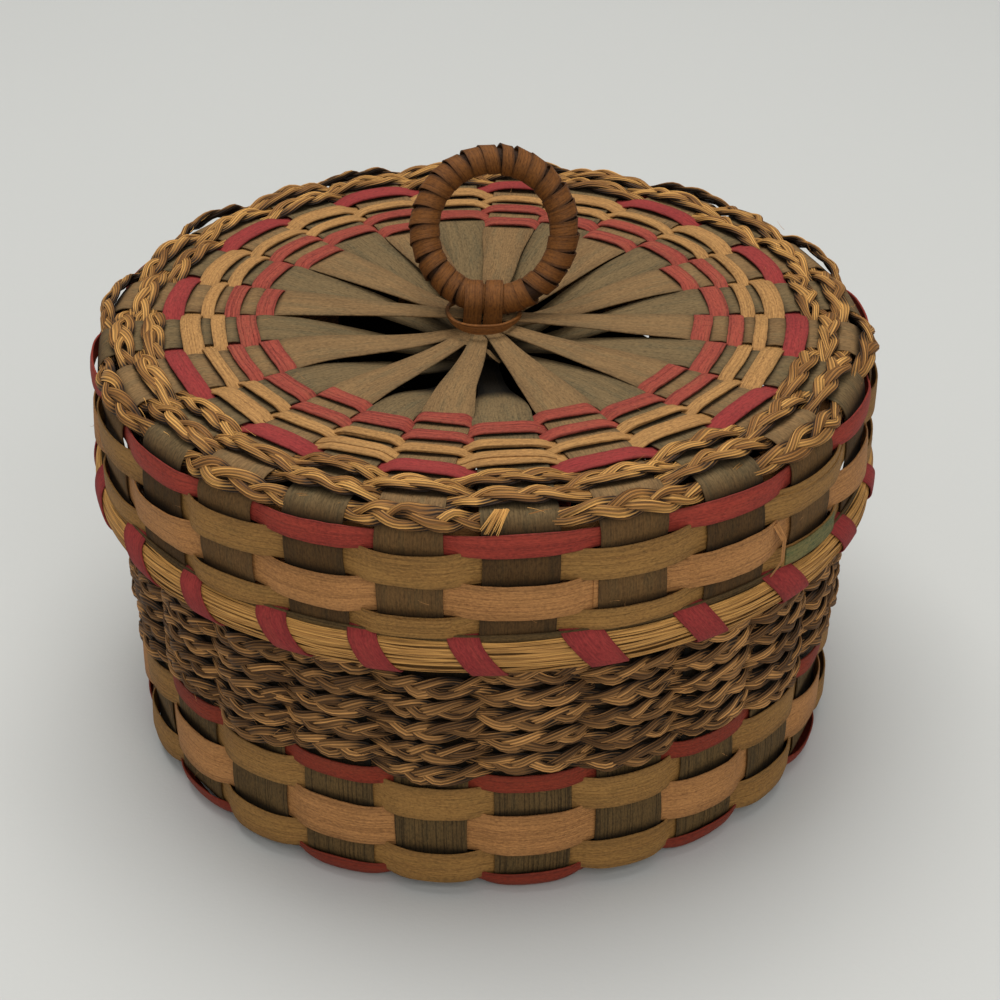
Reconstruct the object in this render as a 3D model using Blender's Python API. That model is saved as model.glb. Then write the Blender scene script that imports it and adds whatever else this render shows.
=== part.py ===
"""A covered round basket of split ash and braided sweetgrass, with a wrapped ring on its lid.

Metres, +Z up, the front faces -Y, and the origin is on the ground under the middle of the base.
Twelve splints cross at the centre of the lid, and twelve more at the centre of the base. They bend
over the edge and stand up (or hang down) as the 24 standards of the wall. Rows of coloured splint
and of braid go over one standard and under the next. Rims of hoop and lashing close both walls.

Every wall is drawn as a polygon with one flat for each standard. An apothem is the distance from
the basket's axis to such a flat.
"""

import math

import bmesh
import bpy
from mathutils import Euler, Matrix, Vector

# Counts
STANDARDS = 24
SPLINTS = STANDARDS // 2
SET_SIZE = SPLINTS // 2
LOWER = 0
UPPER = 1

# Overall sizes
LID_APOTHEM = 0.0825
BROAD_ROW_HEIGHT = 0.0129
LID_PLAY = 0.0016
SEAT_GAP = 0.0003
LIFT_ALLOWANCE = 0.010
LID_SINK = 0.0034

# Splints
STANDARD_THICKNESS = 0.0004
SPACE_AT_WALL = 0.0077
SPACE_AT_EYE = 0.0024
WAIST_WIDTH = 0.0040
WEAVER_THICKNESS = 0.0004
GAP = 0.00025
STACK_GAP = 0.0001
CROSSING_EASE = 0.00015
BASE_CLEARANCE = 0.0005
REACH_MARGIN = 0.0010

# Lid rows, from the centre out and then down the skirt
PINK_ROW_WIDTHS = (0.0033, 0.0036, 0.0026)
TAN_ROW_WIDTHS = (0.0024, 0.0021, 0.0038)
MAGENTA_ROW_WIDTH = 0.0038
LID_BRAID_WIDTH = 0.0029
LID_BRAID_THICKNESS = 0.0015
SKIRT_RED_HEIGHT = 0.0043
SKIRT_TAN_HEIGHTS = (0.0059, 0.0070, 0.0039)

# Body rows, from the base up
BASE_ROW_WIDTH = 0.0125
BODY_LOW_RED_WIDTH = 0.0034
BODY_TAN_HEIGHTS = (0.0064, 0.0092, 0.0062)
BODY_HIGH_RED_HEIGHT = 0.0035
BRAID_HEIGHT = 0.0024
BRAID_THICKNESS = 0.0015
BRAID_LEVELS = 10
JOG_STANDARDS = 4

# Rims
LID_RIM_HEIGHT = 0.0074
BODY_RIM_HEIGHT = 0.0060
HOOP_THICKNESS = 0.0007
BUNDLE_THICKNESS = 0.0020
BUNDLE_CORNER_SHARE = 0.3
LASHING_THICKNESS = 0.0004
LASHING_SIDE_GAP = 0.0005

# Ring handle
HANDLE_RADIUS = 0.0147
HANDLE_CORE_RADIUS = 0.0025
HANDLE_LEAN = math.radians(26)
HANDLE_TILT_LIMIT = math.radians(34)
WRAP_TURNS = 24
WRAP_POINTS = 8
WRAP_THICKNESS = 0.0004
WRAP_COVER_SHARE = 0.8
TIE_WIDTH = 0.0035
TIE_THICKNESS = 0.0004
TIE_ARC_STEPS = 6
COLLAR_RADIUS = 0.0084
COLLAR_THICKNESS = 0.0007

# Angles and distances that follow from these
PITCH = 2 * math.pi / STANDARDS
HALF_PITCH = PITCH / 2
STACK_STEP = STANDARD_THICKNESS + STACK_GAP
FACE = STANDARD_THICKNESS / 2 + GAP
SPLINT_REACH = FACE + WEAVER_THICKNESS
STANDARD_WIDTH = 2 * (LID_APOTHEM - SPLINT_REACH) * math.tan(HALF_PITCH) - SPACE_AT_WALL
BEND_SHARE = math.tan(math.pi / 8)


def bend_margin(thickness):
    """How far a row of this thickness stays from a 45 degree bend of the standards."""
    return (FACE + thickness) * BEND_SHARE + GAP / 2


def at_azimuth(angle, outwards, sideways, height):
    """The point that lies outwards along an azimuth, then sideways, at a height."""
    cosine = math.cos(angle)
    sine = math.sin(angle)
    return Vector((outwards * cosine - sideways * sine, outwards * sine + sideways * cosine, height))


def standard_angle(k):
    """Azimuth of a standard. Number 0 stands just past the back, and they go round by the left."""
    return math.pi / 2 + (k + 0.5) * PITCH


class Weave:
    """One woven dish: a flat middle, a 45 degree shoulder and a wall. The lid's hangs down."""

    def __init__(self, wall_way, wall_apothem, shoulder_row, shoulder_thickness, plane_widths, plane_thickness):
        self.way = wall_way
        self.apothem = wall_apothem
        self.shoulder = shoulder_row + 2 * bend_margin(shoulder_thickness)
        self.run = self.shoulder / math.sqrt(2)
        self.edge = self.apothem - self.run
        outer = self.edge - bend_margin(plane_thickness)
        spans = []
        for width in reversed(plane_widths):
            spans.append((outer - width, outer))
            outer -= width + GAP
        self.plane_spans = spans[::-1]
        self.eye = self.plane_spans[0][0] - REACH_MARGIN
        self.eye_width = 2 * self.eye * math.tan(HALF_PITCH) - SPACE_AT_EYE
        self.taper = (self.eye_width - WAIST_WIDTH) / self.eye

    def half_width(self, leg, along):
        """Half the width of a standard at a place on its way from the centre to the rim."""
        if leg != "plane":
            return STANDARD_WIDTH / 2
        if along < self.eye:
            return (WAIST_WIDTH + self.taper * along) / 2
        share = (along - self.eye) / (self.edge - self.eye)
        return (self.eye_width + (STANDARD_WIDTH - self.eye_width) * share) / 2

    def place(self, leg, along, out):
        """Distance from the axis and height of a point on a leg, a distance outside the standards."""
        if leg == "plane":
            return along, -self.way * out
        if leg == "shoulder":
            root = math.sqrt(2)
            return self.edge + (along + out) / root, self.way * (along - out) / root
        return self.apothem + out, self.way * (self.run + along)

    def crossing_reach(self, angle):
        """How far from the centre two splints that cross at this angle still lie over each other."""
        half = angle / 2
        reach = WAIST_WIDTH / 2 / (math.sin(half) - self.taper / 2 * math.cos(half))
        return reach * math.cos(half) + REACH_MARGIN

    def lashing_half_angle(self):
        """Half the angle that a lashing may take between two standards."""
        free = self.apothem * math.sin(HALF_PITCH) - STANDARD_WIDTH / 2 * math.cos(HALF_PITCH)
        return math.asin((free - LASHING_SIDE_GAP) / self.apothem)


def stacked_spans(start, sizes):
    """Places of rows laid one after another from a start, a gap apart."""
    spans = []
    for size in sizes:
        spans.append((start, start + size))
        start += size + GAP
    return spans


# The lid: its weave and the rows along it
LID = Weave(
    -1,
    LID_APOTHEM - SPLINT_REACH,
    LID_BRAID_WIDTH,
    LID_BRAID_THICKNESS,
    (*PINK_ROW_WIDTHS, *TAN_ROW_WIDTHS, MAGENTA_ROW_WIDTH, *(3 * (LID_BRAID_WIDTH,))),
    LID_BRAID_THICKNESS,
)
SKIRT_SPANS = stacked_spans(bend_margin(WEAVER_THICKNESS), (SKIRT_RED_HEIGHT, *SKIRT_TAN_HEIGHTS))
LASHING_ROOM = LASHING_THICKNESS + 2 * GAP
LID_RIM_START = SKIRT_SPANS[-1][1] + LASHING_ROOM
LID_RIM_END = LID_RIM_START + LID_RIM_HEIGHT

# The body: its weave, its rows and its height
RIM_REACH = FACE + HOOP_THICKNESS
LASHED_REACH = RIM_REACH + GAP + LASHING_THICKNESS
BODY_RIM_RADIUS = LID.apothem - LASHED_REACH - LID_PLAY
BODY = Weave(
    1,
    (BODY_RIM_RADIUS - GAP - LASHING_THICKNESS) * math.cos(HALF_PITCH) - RIM_REACH,
    BODY_LOW_RED_WIDTH,
    WEAVER_THICKNESS,
    2 * (BASE_ROW_WIDTH,),
    WEAVER_THICKNESS,
)
LOW_SPANS = stacked_spans(bend_margin(WEAVER_THICKNESS), (*BODY_TAN_HEIGHTS, BODY_HIGH_RED_HEIGHT))
BRAID_SPANS = stacked_spans(LOW_SPANS[-1][1] + GAP, BRAID_LEVELS * (BRAID_HEIGHT,))
BROAD_SPANS = stacked_spans(BRAID_SPANS[-1][1] + GAP, 2 * (BROAD_ROW_HEIGHT,))
BODY_RIM_START = BROAD_SPANS[-1][1] + LASHING_ROOM
BODY_RIM_END = BODY_RIM_START + BODY_RIM_HEIGHT
BASE_PLANE = SPLINT_REACH
BASE_RISE = (SET_SIZE - 0.5) * STACK_STEP + STANDARD_THICKNESS / 2 + BASE_CLEARANCE - BASE_PLANE
BODY_TOP = BASE_PLANE + BODY.run + BODY_RIM_END + GAP + LASHING_THICKNESS
LID_DEPTH = FACE + LID_BRAID_THICKNESS
SEAT_DEPTH = max(LID_DEPTH, LID_DEPTH * math.sqrt(2) + BODY_RIM_RADIUS - LID.edge)
LID_PLANE = BODY_TOP + SEAT_GAP + SEAT_DEPTH

# The ring handle: its wrapping, the splint it is tied to and the height of its pivot
WRAP_INNER = (HANDLE_CORE_RADIUS + GAP) / math.cos(math.pi / WRAP_POINTS)
WRAP_OUTER = WRAP_INNER + WRAP_THICKNESS
TIE_ROOM = TIE_THICKNESS + 2 * GAP - STACK_GAP
TOP_SPLINT_TOP = (SET_SIZE - 0.5) * STACK_STEP + TIE_ROOM + STANDARD_THICKNESS / 2 - LID_SINK
PIVOT_HEIGHT = TOP_SPLINT_TOP + GAP + WRAP_OUTER
LID_TRAVEL = -LID.place("wall", LID_RIM_END, 0)[1] + LIFT_ALLOWANCE

# Finishes: colour, roughness
FINISHES = {
    "brown_ash": ((0.19, 0.135, 0.07), 0.75),
    "green_ash": ((0.13, 0.125, 0.075), 0.75),
    "tan_ash": ((0.40, 0.24, 0.085), 0.6),
    "pink_ash": ((0.51, 0.09, 0.09), 0.65),
    "red_ash": ((0.40, 0.035, 0.045), 0.65),
    "magenta_ash": ((0.35, 0.03, 0.065), 0.6),
    "lid_sweetgrass": ((0.43, 0.22, 0.06), 0.7),
    "wall_sweetgrass": ((0.27, 0.14, 0.05), 0.75),
    "handle_ash": ((0.30, 0.13, 0.045), 0.6),
}


def finish(name):
    """The material of a finish, made the first time it is asked for."""
    if name in bpy.data.materials:
        return bpy.data.materials[name]
    colour, roughness = FINISHES[name]
    material = bpy.data.materials.new(name)
    material.use_nodes = True
    shader = material.node_tree.nodes["Principled BSDF"]
    shader.inputs["Base Color"].default_value = (*colour, 1)
    shader.inputs["Roughness"].default_value = roughness
    shader.inputs["Metallic"].default_value = 0
    return material


def new_object(name, rings, closed, finish_name, parent):
    """A closed body swept through rings of corners, which meet again or end in flat caps."""
    mesh = bmesh.new()
    loops = [[mesh.verts.new(corner) for corner in ring] for ring in rings]
    corners = len(rings[0])
    for i in range(len(loops) if closed else len(loops) - 1):
        near = loops[i]
        far = loops[(i + 1) % len(loops)]
        for j in range(corners):
            after = (j + 1) % corners
            mesh.faces.new((near[j], near[after], far[after], far[j]))
    if not closed:
        mesh.faces.new(loops[0])
        mesh.faces.new(loops[-1])
    bmesh.ops.recalc_face_normals(mesh, faces=mesh.faces)
    bmesh.ops.triangulate(mesh, faces=mesh.faces)
    data = bpy.data.meshes.new(name)
    mesh.to_mesh(data)
    mesh.free()
    data.materials.append(finish(finish_name))
    thing = bpy.data.objects.new(name, data)
    thing.parent = parent
    bpy.context.scene.collection.objects.link(thing)
    return thing


def shade_round(thing):
    """Smooth shading that keeps the edges of the splint sharp."""
    thing.data.shade_smooth()
    thing.data.set_sharp_from_angle(angle=math.radians(50))


def frame(name, height, lean, parent):
    """An empty that carries one moving group, on its joint's axis."""
    empty = bpy.data.objects.new(name, None)
    empty.location = (0, 0, height)
    empty.rotation_euler = Euler((lean, 0, 0))
    empty.parent = parent
    bpy.context.scene.collection.objects.link(empty)
    return empty


def offset_path(points, distance):
    """A path in the plane moved sideways by a distance, with mitred corners."""
    normals = []
    for near, far in zip(points, points[1:]):
        along = (Vector(far) - Vector(near)).normalized()
        normals.append(Vector((-along.y, along.x)))
    moved = []
    for i, point in enumerate(points):
        before = normals[max(i - 1, 0)]
        after = normals[min(i, len(normals) - 1)]
        mitre = (before + after) / (1 + before.dot(after))
        moved.append(Vector(point) + mitre * distance)
    return moved


def splint_half(weave, rise, level, extra, rim_end):
    """One arm of a splint from near the centre to its rim: distance, height and half width."""
    near = weave.crossing_reach(2 * PITCH)
    clear = weave.crossing_reach(PITCH)
    share = (weave.eye - clear) / (weave.eye - near)
    first = math.copysign(STACK_STEP / 2, level)
    stations = [
        (near, rise + level * STACK_STEP + extra, weave.half_width("plane", near)),
        (clear, rise * share + first, weave.half_width("plane", clear)),
        (weave.eye, 0, weave.half_width("plane", weave.eye)),
    ]
    for leg, along in (("plane", weave.edge), ("wall", 0), ("wall", rim_end)):
        distance, height = weave.place(leg, along, 0)
        stations.append((distance, height, weave.half_width(leg, along)))
    return stations


def standard(name, weave, k, rise, level, extra, rim_end, finish_name, parent):
    """One splint: down one wall, across the middle at its own level, and down the other wall."""
    half = splint_half(weave, rise, level, extra, rim_end)
    path = [(-distance, height) for distance, height, _ in reversed(half)]
    path += [(distance, height) for distance, height, _ in half]
    widths = [width for _, _, width in reversed(half)] + [width for _, _, width in half]
    upper = offset_path(path, STANDARD_THICKNESS / 2)
    under = offset_path(path, -STANDARD_THICKNESS / 2)
    angle = standard_angle(k)
    rings = []
    for above, below, width in zip(upper, under, widths):
        rings.append(
            (
                at_azimuth(angle, above.x, -width, above.y),
                at_azimuth(angle, above.x, width, above.y),
                at_azimuth(angle, below.x, width, below.y),
                at_azimuth(angle, below.x, -width, below.y),
            )
        )
    return new_object(name, rings, False, finish_name, parent)


def standards(prefix, weave, rise, top_extra, rim_end, finish_names, parent):
    """All splints of one dish. The upper set lies over the lower set, each stacked at the centre."""
    for number in range(SPLINTS):
        place_in_set = number // 2
        is_upper = number % 2 == UPPER
        level = place_in_set + 0.5 if is_upper else place_in_set + 0.5 - SET_SIZE
        extra = top_extra if is_upper and place_in_set == SET_SIZE - 1 else 0
        colour = finish_names[number % 2]
        k = (number + SET_SIZE) % STANDARDS
        standard(f"{prefix}_{number + 1:02d}", weave, k, rise, level, extra, rim_end, colour, parent)


def strip_corners(span, inner, outer):
    """Corners of a flat splint's section, as places along and outside the standards."""
    return [(span[0], inner), (span[1], inner), (span[1], outer), (span[0], outer)]


def braid_corners(span, inner, outer):
    """Corners of a braid's section: flat towards the centre, with a ridge outside."""
    return [(span[0], inner), (span[1], inner), ((span[0] + span[1]) / 2, outer)]


def woven_rings(weave, leg, spans, thickness, over, corners_of):
    """Two rings for each standard passed, at its edges, outside it or inside it by turns."""
    rings = []
    for k, span in enumerate(spans):
        inner = FACE if k % 2 == over else -FACE - thickness
        corners = corners_of(span, inner, inner + thickness)
        for side in (-1, 1):
            ring = []
            for along, out in corners:
                distance, height = weave.place(leg, along, out)
                sideways = side * (weave.half_width(leg, along) + CROSSING_EASE)
                ring.append(at_azimuth(standard_angle(k), distance, sideways, height))
            rings.append(ring)
    return rings


def row(name, weave, leg, span, over, finish_name, parent):
    """A closed row of splint, over the standards of one set and under those of the other."""
    rings = woven_rings(weave, leg, STANDARDS * (span,), WEAVER_THICKNESS, over, strip_corners)
    return new_object(name, rings, True, finish_name, parent)


def braid_row(name, weave, leg, span, over, finish_name, parent):
    """A closed row of braid on the lid."""
    rings = woven_rings(weave, leg, STANDARDS * (span,), LID_BRAID_THICKNESS, over, braid_corners)
    return new_object(name, rings, True, finish_name, parent)


def chased_braid(name, weave, first_level, over, finish_name, parent):
    """One of two long braids that climb the wall together. At the back each one steps up two levels."""
    pitch = BRAID_HEIGHT + GAP
    start = BRAID_SPANS[first_level][0]
    rounds = BRAID_LEVELS // 2
    spans = []
    for k in range(rounds * STANDARDS - JOG_STANDARDS):
        turn, place_in_turn = divmod(k, STANDARDS)
        step = max(0, place_in_turn - (STANDARDS - JOG_STANDARDS)) / JOG_STANDARDS
        foot = start + 2 * pitch * (turn + step)
        spans.append((foot, foot + BRAID_HEIGHT))
    rings = woven_rings(weave, "wall", spans, BRAID_THICKNESS, over, braid_corners)
    return new_object(name, rings, False, finish_name, parent)


def hoop(name, weave, corners, finish_name, parent):
    """A closed hoop on the wall with one flat for each standard."""
    rings = []
    for k in range(STANDARDS):
        ring = []
        for along, out in corners:
            distance, height = weave.place("wall", along, out)
            ring.append(at_azimuth(standard_angle(k + 0.5), distance / math.cos(HALF_PITCH), 0, height))
        rings.append(ring)
    return new_object(name, rings, True, finish_name, parent)


def flat_hoop(name, weave, rim_start, rim_end, inner, finish_name, parent):
    """A hoop of thick splint, which starts at a distance outside the standards."""
    corners = strip_corners((rim_start, rim_end), inner, inner + HOOP_THICKNESS)
    return hoop(name, weave, corners, finish_name, parent)


def sweetgrass_bundle(name, weave, rim_start, rim_end, finish_name, parent):
    """The round bundle laid along the outside of the lid's rim."""
    corner = BUNDLE_THICKNESS * BUNDLE_CORNER_SHARE
    inner = FACE
    outer = FACE + BUNDLE_THICKNESS
    middle = (inner + outer) / 2
    corners = [
        (rim_start + corner, inner),
        (rim_end - corner, inner),
        (rim_end, middle),
        (rim_end - corner, outer),
        (rim_start + corner, outer),
        (rim_start, middle),
    ]
    return shade_round(hoop(name, weave, corners, finish_name, parent))


def least_gap(rings, turn):
    """Least distance between a winding's corners and those of its next turn."""
    least = math.inf
    for i, ring in enumerate(rings):
        after = rings[(i + turn) % len(rings)]
        for near in ring:
            for far in after:
                least = min(least, (near - far).length)
    return least


def lashing(name, weave, rim_start, rim_end, outside, finish_name, parent):
    """One splint wound round a rim, through every space between two standards."""
    inside = weave.apothem - RIM_REACH - GAP
    beyond = (weave.apothem + outside) / math.cos(HALF_PITCH) + GAP
    first = rim_start - GAP
    last = rim_end + GAP
    thick = LASHING_THICKNESS
    corners = [
        (inside, inside - thick, first, first - thick, 0),
        (beyond, beyond + thick, first, first - thick, 0),
        (beyond, beyond + thick, last, last + thick, HALF_PITCH),
        (inside, inside - thick, last, last + thick, HALF_PITCH),
    ]
    half_angle = weave.lashing_half_angle()
    rings = []
    for turn in range(STANDARDS):
        for near, far, low, high, advance in corners:
            middle = standard_angle(turn + 0.5) + advance
            near_height = weave.place("wall", low, 0)[1]
            far_height = weave.place("wall", high, 0)[1]
            rings.append(
                (
                    at_azimuth(middle - half_angle, near, 0, near_height),
                    at_azimuth(middle + half_angle, near, 0, near_height),
                    at_azimuth(middle + half_angle, far, 0, far_height),
                    at_azimuth(middle - half_angle, far, 0, far_height),
                )
            )
    print(f"{name}: {STANDARDS} turns, least gap to itself {1000 * least_gap(rings, len(corners)):.2f} mm")
    return new_object(name, rings, True, finish_name, parent)


def torus_point(azimuth, around, tube_radius):
    """A point of the upright ring, whose foot is at the origin. Azimuth 0 is the foot."""
    distance = HANDLE_RADIUS + tube_radius * math.cos(around)
    height = HANDLE_RADIUS - distance * math.cos(azimuth)
    return Vector((distance * math.sin(azimuth), tube_radius * math.sin(around), height))


def handle_ring(parent):
    """The bent core of the ring."""
    sides = WRAP_POINTS
    rings = []
    for i in range(STANDARDS):
        azimuth = i * PITCH
        rings.append([torus_point(azimuth, j * 2 * math.pi / sides, HANDLE_CORE_RADIUS) for j in range(sides)])
    return shade_round(new_object("handle_ring", rings, True, "handle_ash", parent))


def handle_wrap(parent):
    """The splint wound round the ring."""
    count = WRAP_TURNS * WRAP_POINTS
    half_angle = math.pi / WRAP_TURNS * WRAP_COVER_SHARE
    rings = []
    for i in range(count):
        azimuth = 2 * math.pi * i / count
        around = 2 * math.pi * i / WRAP_POINTS
        rings.append(
            (
                torus_point(azimuth - half_angle, around, WRAP_INNER),
                torus_point(azimuth + half_angle, around, WRAP_INNER),
                torus_point(azimuth + half_angle, around, WRAP_OUTER),
                torus_point(azimuth - half_angle, around, WRAP_OUTER),
            )
        )
    print(f"handle_wrap: {WRAP_TURNS} turns, least gap to itself {1000 * least_gap(rings, WRAP_POINTS):.2f} mm")
    return new_object("handle_wrap", rings, True, "handle_ash", parent)


def handle_tie(parent):
    """The splint loop that holds the ring's foot to the topmost splint of the lid."""
    inner = (WRAP_OUTER + GAP) / math.cos(math.pi / TIE_ARC_STEPS / 2)
    outer = inner + TIE_THICKNESS
    seat = TOP_SPLINT_TOP - STANDARD_THICKNESS - GAP
    outline = []
    for i in range(TIE_ARC_STEPS + 1):
        angle = math.pi * i / TIE_ARC_STEPS
        reach = Vector((math.cos(angle), math.sin(angle)))
        outline.append((reach * inner, reach * outer))
    outline = [(near + Vector((0, PIVOT_HEIGHT)), far + Vector((0, PIVOT_HEIGHT))) for near, far in outline]
    outline.append((Vector((-inner, seat)), Vector((-outer, seat - TIE_THICKNESS))))
    outline.append((Vector((inner, seat)), Vector((outer, seat - TIE_THICKNESS))))
    half = TIE_WIDTH / 2
    rings = []
    for near, far in outline:
        rings.append(
            (
                Vector((-half, near.x, near.y)),
                Vector((half, near.x, near.y)),
                Vector((half, far.x, far.y)),
                Vector((-half, far.x, far.y)),
            )
        )
    return new_object("handle_tie", rings, True, "handle_ash", parent)


def lowest_sweep(inner, outer):
    """Lowest height over the lid that the tilting ring reaches between two distances from its foot."""
    reach = WRAP_OUTER + GAP
    lowest = math.inf
    for step in range(-STANDARDS, STANDARDS + 1):
        turn = Matrix.Rotation(HANDLE_TILT_LIMIT * step / STANDARDS, 3, "X")
        for i in range(-STANDARDS, STANDARDS + 1):
            azimuth = i / STANDARDS * math.pi / 3
            for j in range(2 * STANDARDS):
                point = turn @ torus_point(azimuth, j * HALF_PITCH, reach)
                if inner <= math.hypot(point.x, point.y) <= outer:
                    lowest = min(lowest, point.z)
    return PIVOT_HEIGHT + lowest


def handle_collar(parent):
    """The narrow hoop round the ring's foot, low enough for the ring to tilt over it."""
    inner = COLLAR_RADIUS - COLLAR_THICKNESS
    bottom = TOP_SPLINT_TOP + GAP
    top = lowest_sweep(inner - GAP, COLLAR_RADIUS + GAP)
    print(f"handle_collar: {1000 * (top - bottom):.2f} mm high")
    rings = []
    for k in range(STANDARDS):
        angle = k * PITCH
        rings.append(
            (
                at_azimuth(angle, inner, 0, bottom),
                at_azimuth(angle, COLLAR_RADIUS, 0, bottom),
                at_azimuth(angle, COLLAR_RADIUS, 0, top),
                at_azimuth(angle, inner, 0, top),
            )
        )
    return shade_round(new_object("handle_collar", rings, True, "tan_ash", parent))


def build_body(body):
    """Base, wall and rim of the lower part."""
    standards("body_standard", BODY, BASE_RISE, 0, BODY_RIM_END, ("green_ash", "green_ash"), body)
    for i, span in enumerate(BODY.plane_spans):
        over = UPPER if i % 2 else LOWER
        row(f"base_row_{i + 1}", BODY, "plane", span, over, "tan_ash", body)
    margin = bend_margin(WEAVER_THICKNESS)
    row("body_red_row_low", BODY, "shoulder", (margin, margin + BODY_LOW_RED_WIDTH), LOWER, "red_ash", body)
    for i, over in enumerate((UPPER, LOWER, UPPER)):
        row(f"body_tan_row_{i + 1}", BODY, "wall", LOW_SPANS[i], over, "tan_ash", body)
    row("body_red_row_high", BODY, "wall", LOW_SPANS[-1], LOWER, "red_ash", body)
    chased_braid("wall_braid_first", BODY, 0, UPPER, "wall_sweetgrass", body)
    chased_braid("wall_braid_second", BODY, 1, LOWER, "wall_sweetgrass", body)
    for i, over in enumerate((UPPER, LOWER)):
        row(f"body_broad_row_{i + 1}", BODY, "wall", BROAD_SPANS[i], over, "tan_ash", body)
    flat_hoop("body_inner_hoop", BODY, BODY_RIM_START, BODY_RIM_END, -RIM_REACH, "tan_ash", body)
    flat_hoop("body_outer_hoop", BODY, BODY_RIM_START, BODY_RIM_END, FACE, "tan_ash", body)
    lashing("body_rim_lashing", BODY, BODY_RIM_START, BODY_RIM_END, RIM_REACH, "tan_ash", body)


def build_lid(lid):
    """Top, skirt and rim of the lid."""
    standards("lid_standard", LID, -LID_SINK, TIE_ROOM, LID_RIM_END, ("green_ash", "brown_ash"), lid)
    names = [(f"lid_pink_row_{number}", "pink_ash") for number in (1, 2, 3)]
    names += [(f"lid_tan_row_{number}", "tan_ash") for number in (1, 2, 3)]
    names += [("lid_magenta_row", "magenta_ash")]
    braids = [(f"lid_braid_{number}", "lid_sweetgrass") for number in (1, 2, 3)]
    for i, (name, colour) in enumerate(names + braids):
        make_row = row if i < len(names) else braid_row
        make_row(name, LID, "plane", LID.plane_spans[i], LOWER if i % 2 else UPPER, colour, lid)
    margin = bend_margin(LID_BRAID_THICKNESS)
    braid_row("lid_braid_4", LID, "shoulder", (margin, margin + LID_BRAID_WIDTH), UPPER, "lid_sweetgrass", lid)
    row("skirt_red_row", LID, "wall", SKIRT_SPANS[0], LOWER, "red_ash", lid)
    for i, over in enumerate((UPPER, LOWER, UPPER)):
        row(f"skirt_tan_row_{i + 1}", LID, "wall", SKIRT_SPANS[i + 1], over, "tan_ash", lid)
    flat_hoop("lid_inner_hoop", LID, LID_RIM_START, LID_RIM_END, -RIM_REACH, "tan_ash", lid)
    sweetgrass_bundle("lid_rim_sweetgrass", LID, LID_RIM_START, LID_RIM_END, "lid_sweetgrass", lid)
    outside = FACE + BUNDLE_THICKNESS
    lashing("lid_rim_lashing", LID, LID_RIM_START, LID_RIM_END, outside, "magenta_ash", lid)
    handle_tie(lid)
    handle_collar(lid)


def build_handle(handle):
    """The ring and its wrapping, which tilt together about the ring's foot."""
    handle_ring(handle)
    handle_wrap(handle)


def main():
    """Clear the scene and build the basket."""
    for thing in list(bpy.data.objects):
        bpy.data.objects.remove(thing)
    body = frame("body_frame", BASE_PLANE, 0, None)
    lid = frame("lid_frame", LID_PLANE - BASE_PLANE, 0, body)
    handle = frame("handle_frame", PIVOT_HEIGHT, -HANDLE_LEAN, lid)
    build_body(body)
    build_lid(lid)
    build_handle(handle)
    print(f"lid lifts {1000 * LID_TRAVEL:.1f} mm, lid plane at {1000 * LID_PLANE:.2f} mm")
    print(f"ring pivot at {1000 * (LID_PLANE + PIVOT_HEIGHT):.2f} mm")


main()
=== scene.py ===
# %% [markdown]
# # A covered basket of split ash and braided sweetgrass
# The real basket is woven from thin splints of ash wood and braids of sweetgrass. Twelve long
# splints cross at the middle of each half, bend over a rounded shoulder and become the 24
# standards of its wall. Everything else is woven through them. This lesson dresses the plain CAD
# model of such a basket, piece by piece, with the strips, braids and finishes of the real one.

# %% Load the CAD model
import math
import bpy
import numpy as np
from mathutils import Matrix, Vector


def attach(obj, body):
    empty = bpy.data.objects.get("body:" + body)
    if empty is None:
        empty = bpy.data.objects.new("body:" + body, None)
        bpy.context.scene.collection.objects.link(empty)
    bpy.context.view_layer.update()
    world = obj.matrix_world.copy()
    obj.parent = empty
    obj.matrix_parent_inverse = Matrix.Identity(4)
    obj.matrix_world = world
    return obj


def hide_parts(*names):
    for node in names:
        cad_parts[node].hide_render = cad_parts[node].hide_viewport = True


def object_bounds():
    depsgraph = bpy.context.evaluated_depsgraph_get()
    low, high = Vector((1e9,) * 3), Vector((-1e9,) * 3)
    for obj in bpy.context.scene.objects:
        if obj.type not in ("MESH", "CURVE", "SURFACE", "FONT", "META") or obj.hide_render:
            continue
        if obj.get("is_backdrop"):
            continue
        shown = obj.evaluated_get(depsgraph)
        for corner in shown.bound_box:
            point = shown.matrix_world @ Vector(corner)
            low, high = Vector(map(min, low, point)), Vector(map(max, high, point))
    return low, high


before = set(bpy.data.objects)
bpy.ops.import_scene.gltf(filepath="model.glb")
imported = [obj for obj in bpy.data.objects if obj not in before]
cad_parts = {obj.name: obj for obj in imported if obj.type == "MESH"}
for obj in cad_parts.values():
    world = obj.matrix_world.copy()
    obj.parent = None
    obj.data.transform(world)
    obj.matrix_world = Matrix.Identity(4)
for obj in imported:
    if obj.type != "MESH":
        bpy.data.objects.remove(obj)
cad_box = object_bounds()
print("CAD model:", len(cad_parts), "nodes")

# %% [markdown]
# ## Where things lie on a woven dish
# A standard starts at the centre, runs flat to the shoulder, and goes down (lid) or up (body) the
# wall. One number, the length along that way, says where a row lies. Curves could be drawn by
# hand for each row, but a formula keeps every row and every standard on the same form.

# %% Counts and angles
STANDARDS = 24
SPLINTS = 12
LOWER, UPPER = 0, 1
PITCH = 2 * math.pi / STANDARDS
MM = 0.001


def standard_angle(k):
    """Azimuth of a standard. Number 0 stands just past the back, and they go round by the left."""
    return math.pi / 2 + (k + 0.5) * PITCH


def turned(theta, distance, sideways, height):
    """Points that lie outwards along an azimuth, then sideways, at a height."""
    x = distance * np.cos(theta) - sideways * np.sin(theta)
    y = distance * np.sin(theta) + sideways * np.cos(theta)
    return np.stack(np.broadcast_arrays(x, y, height + 0 * theta), -1)


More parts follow.
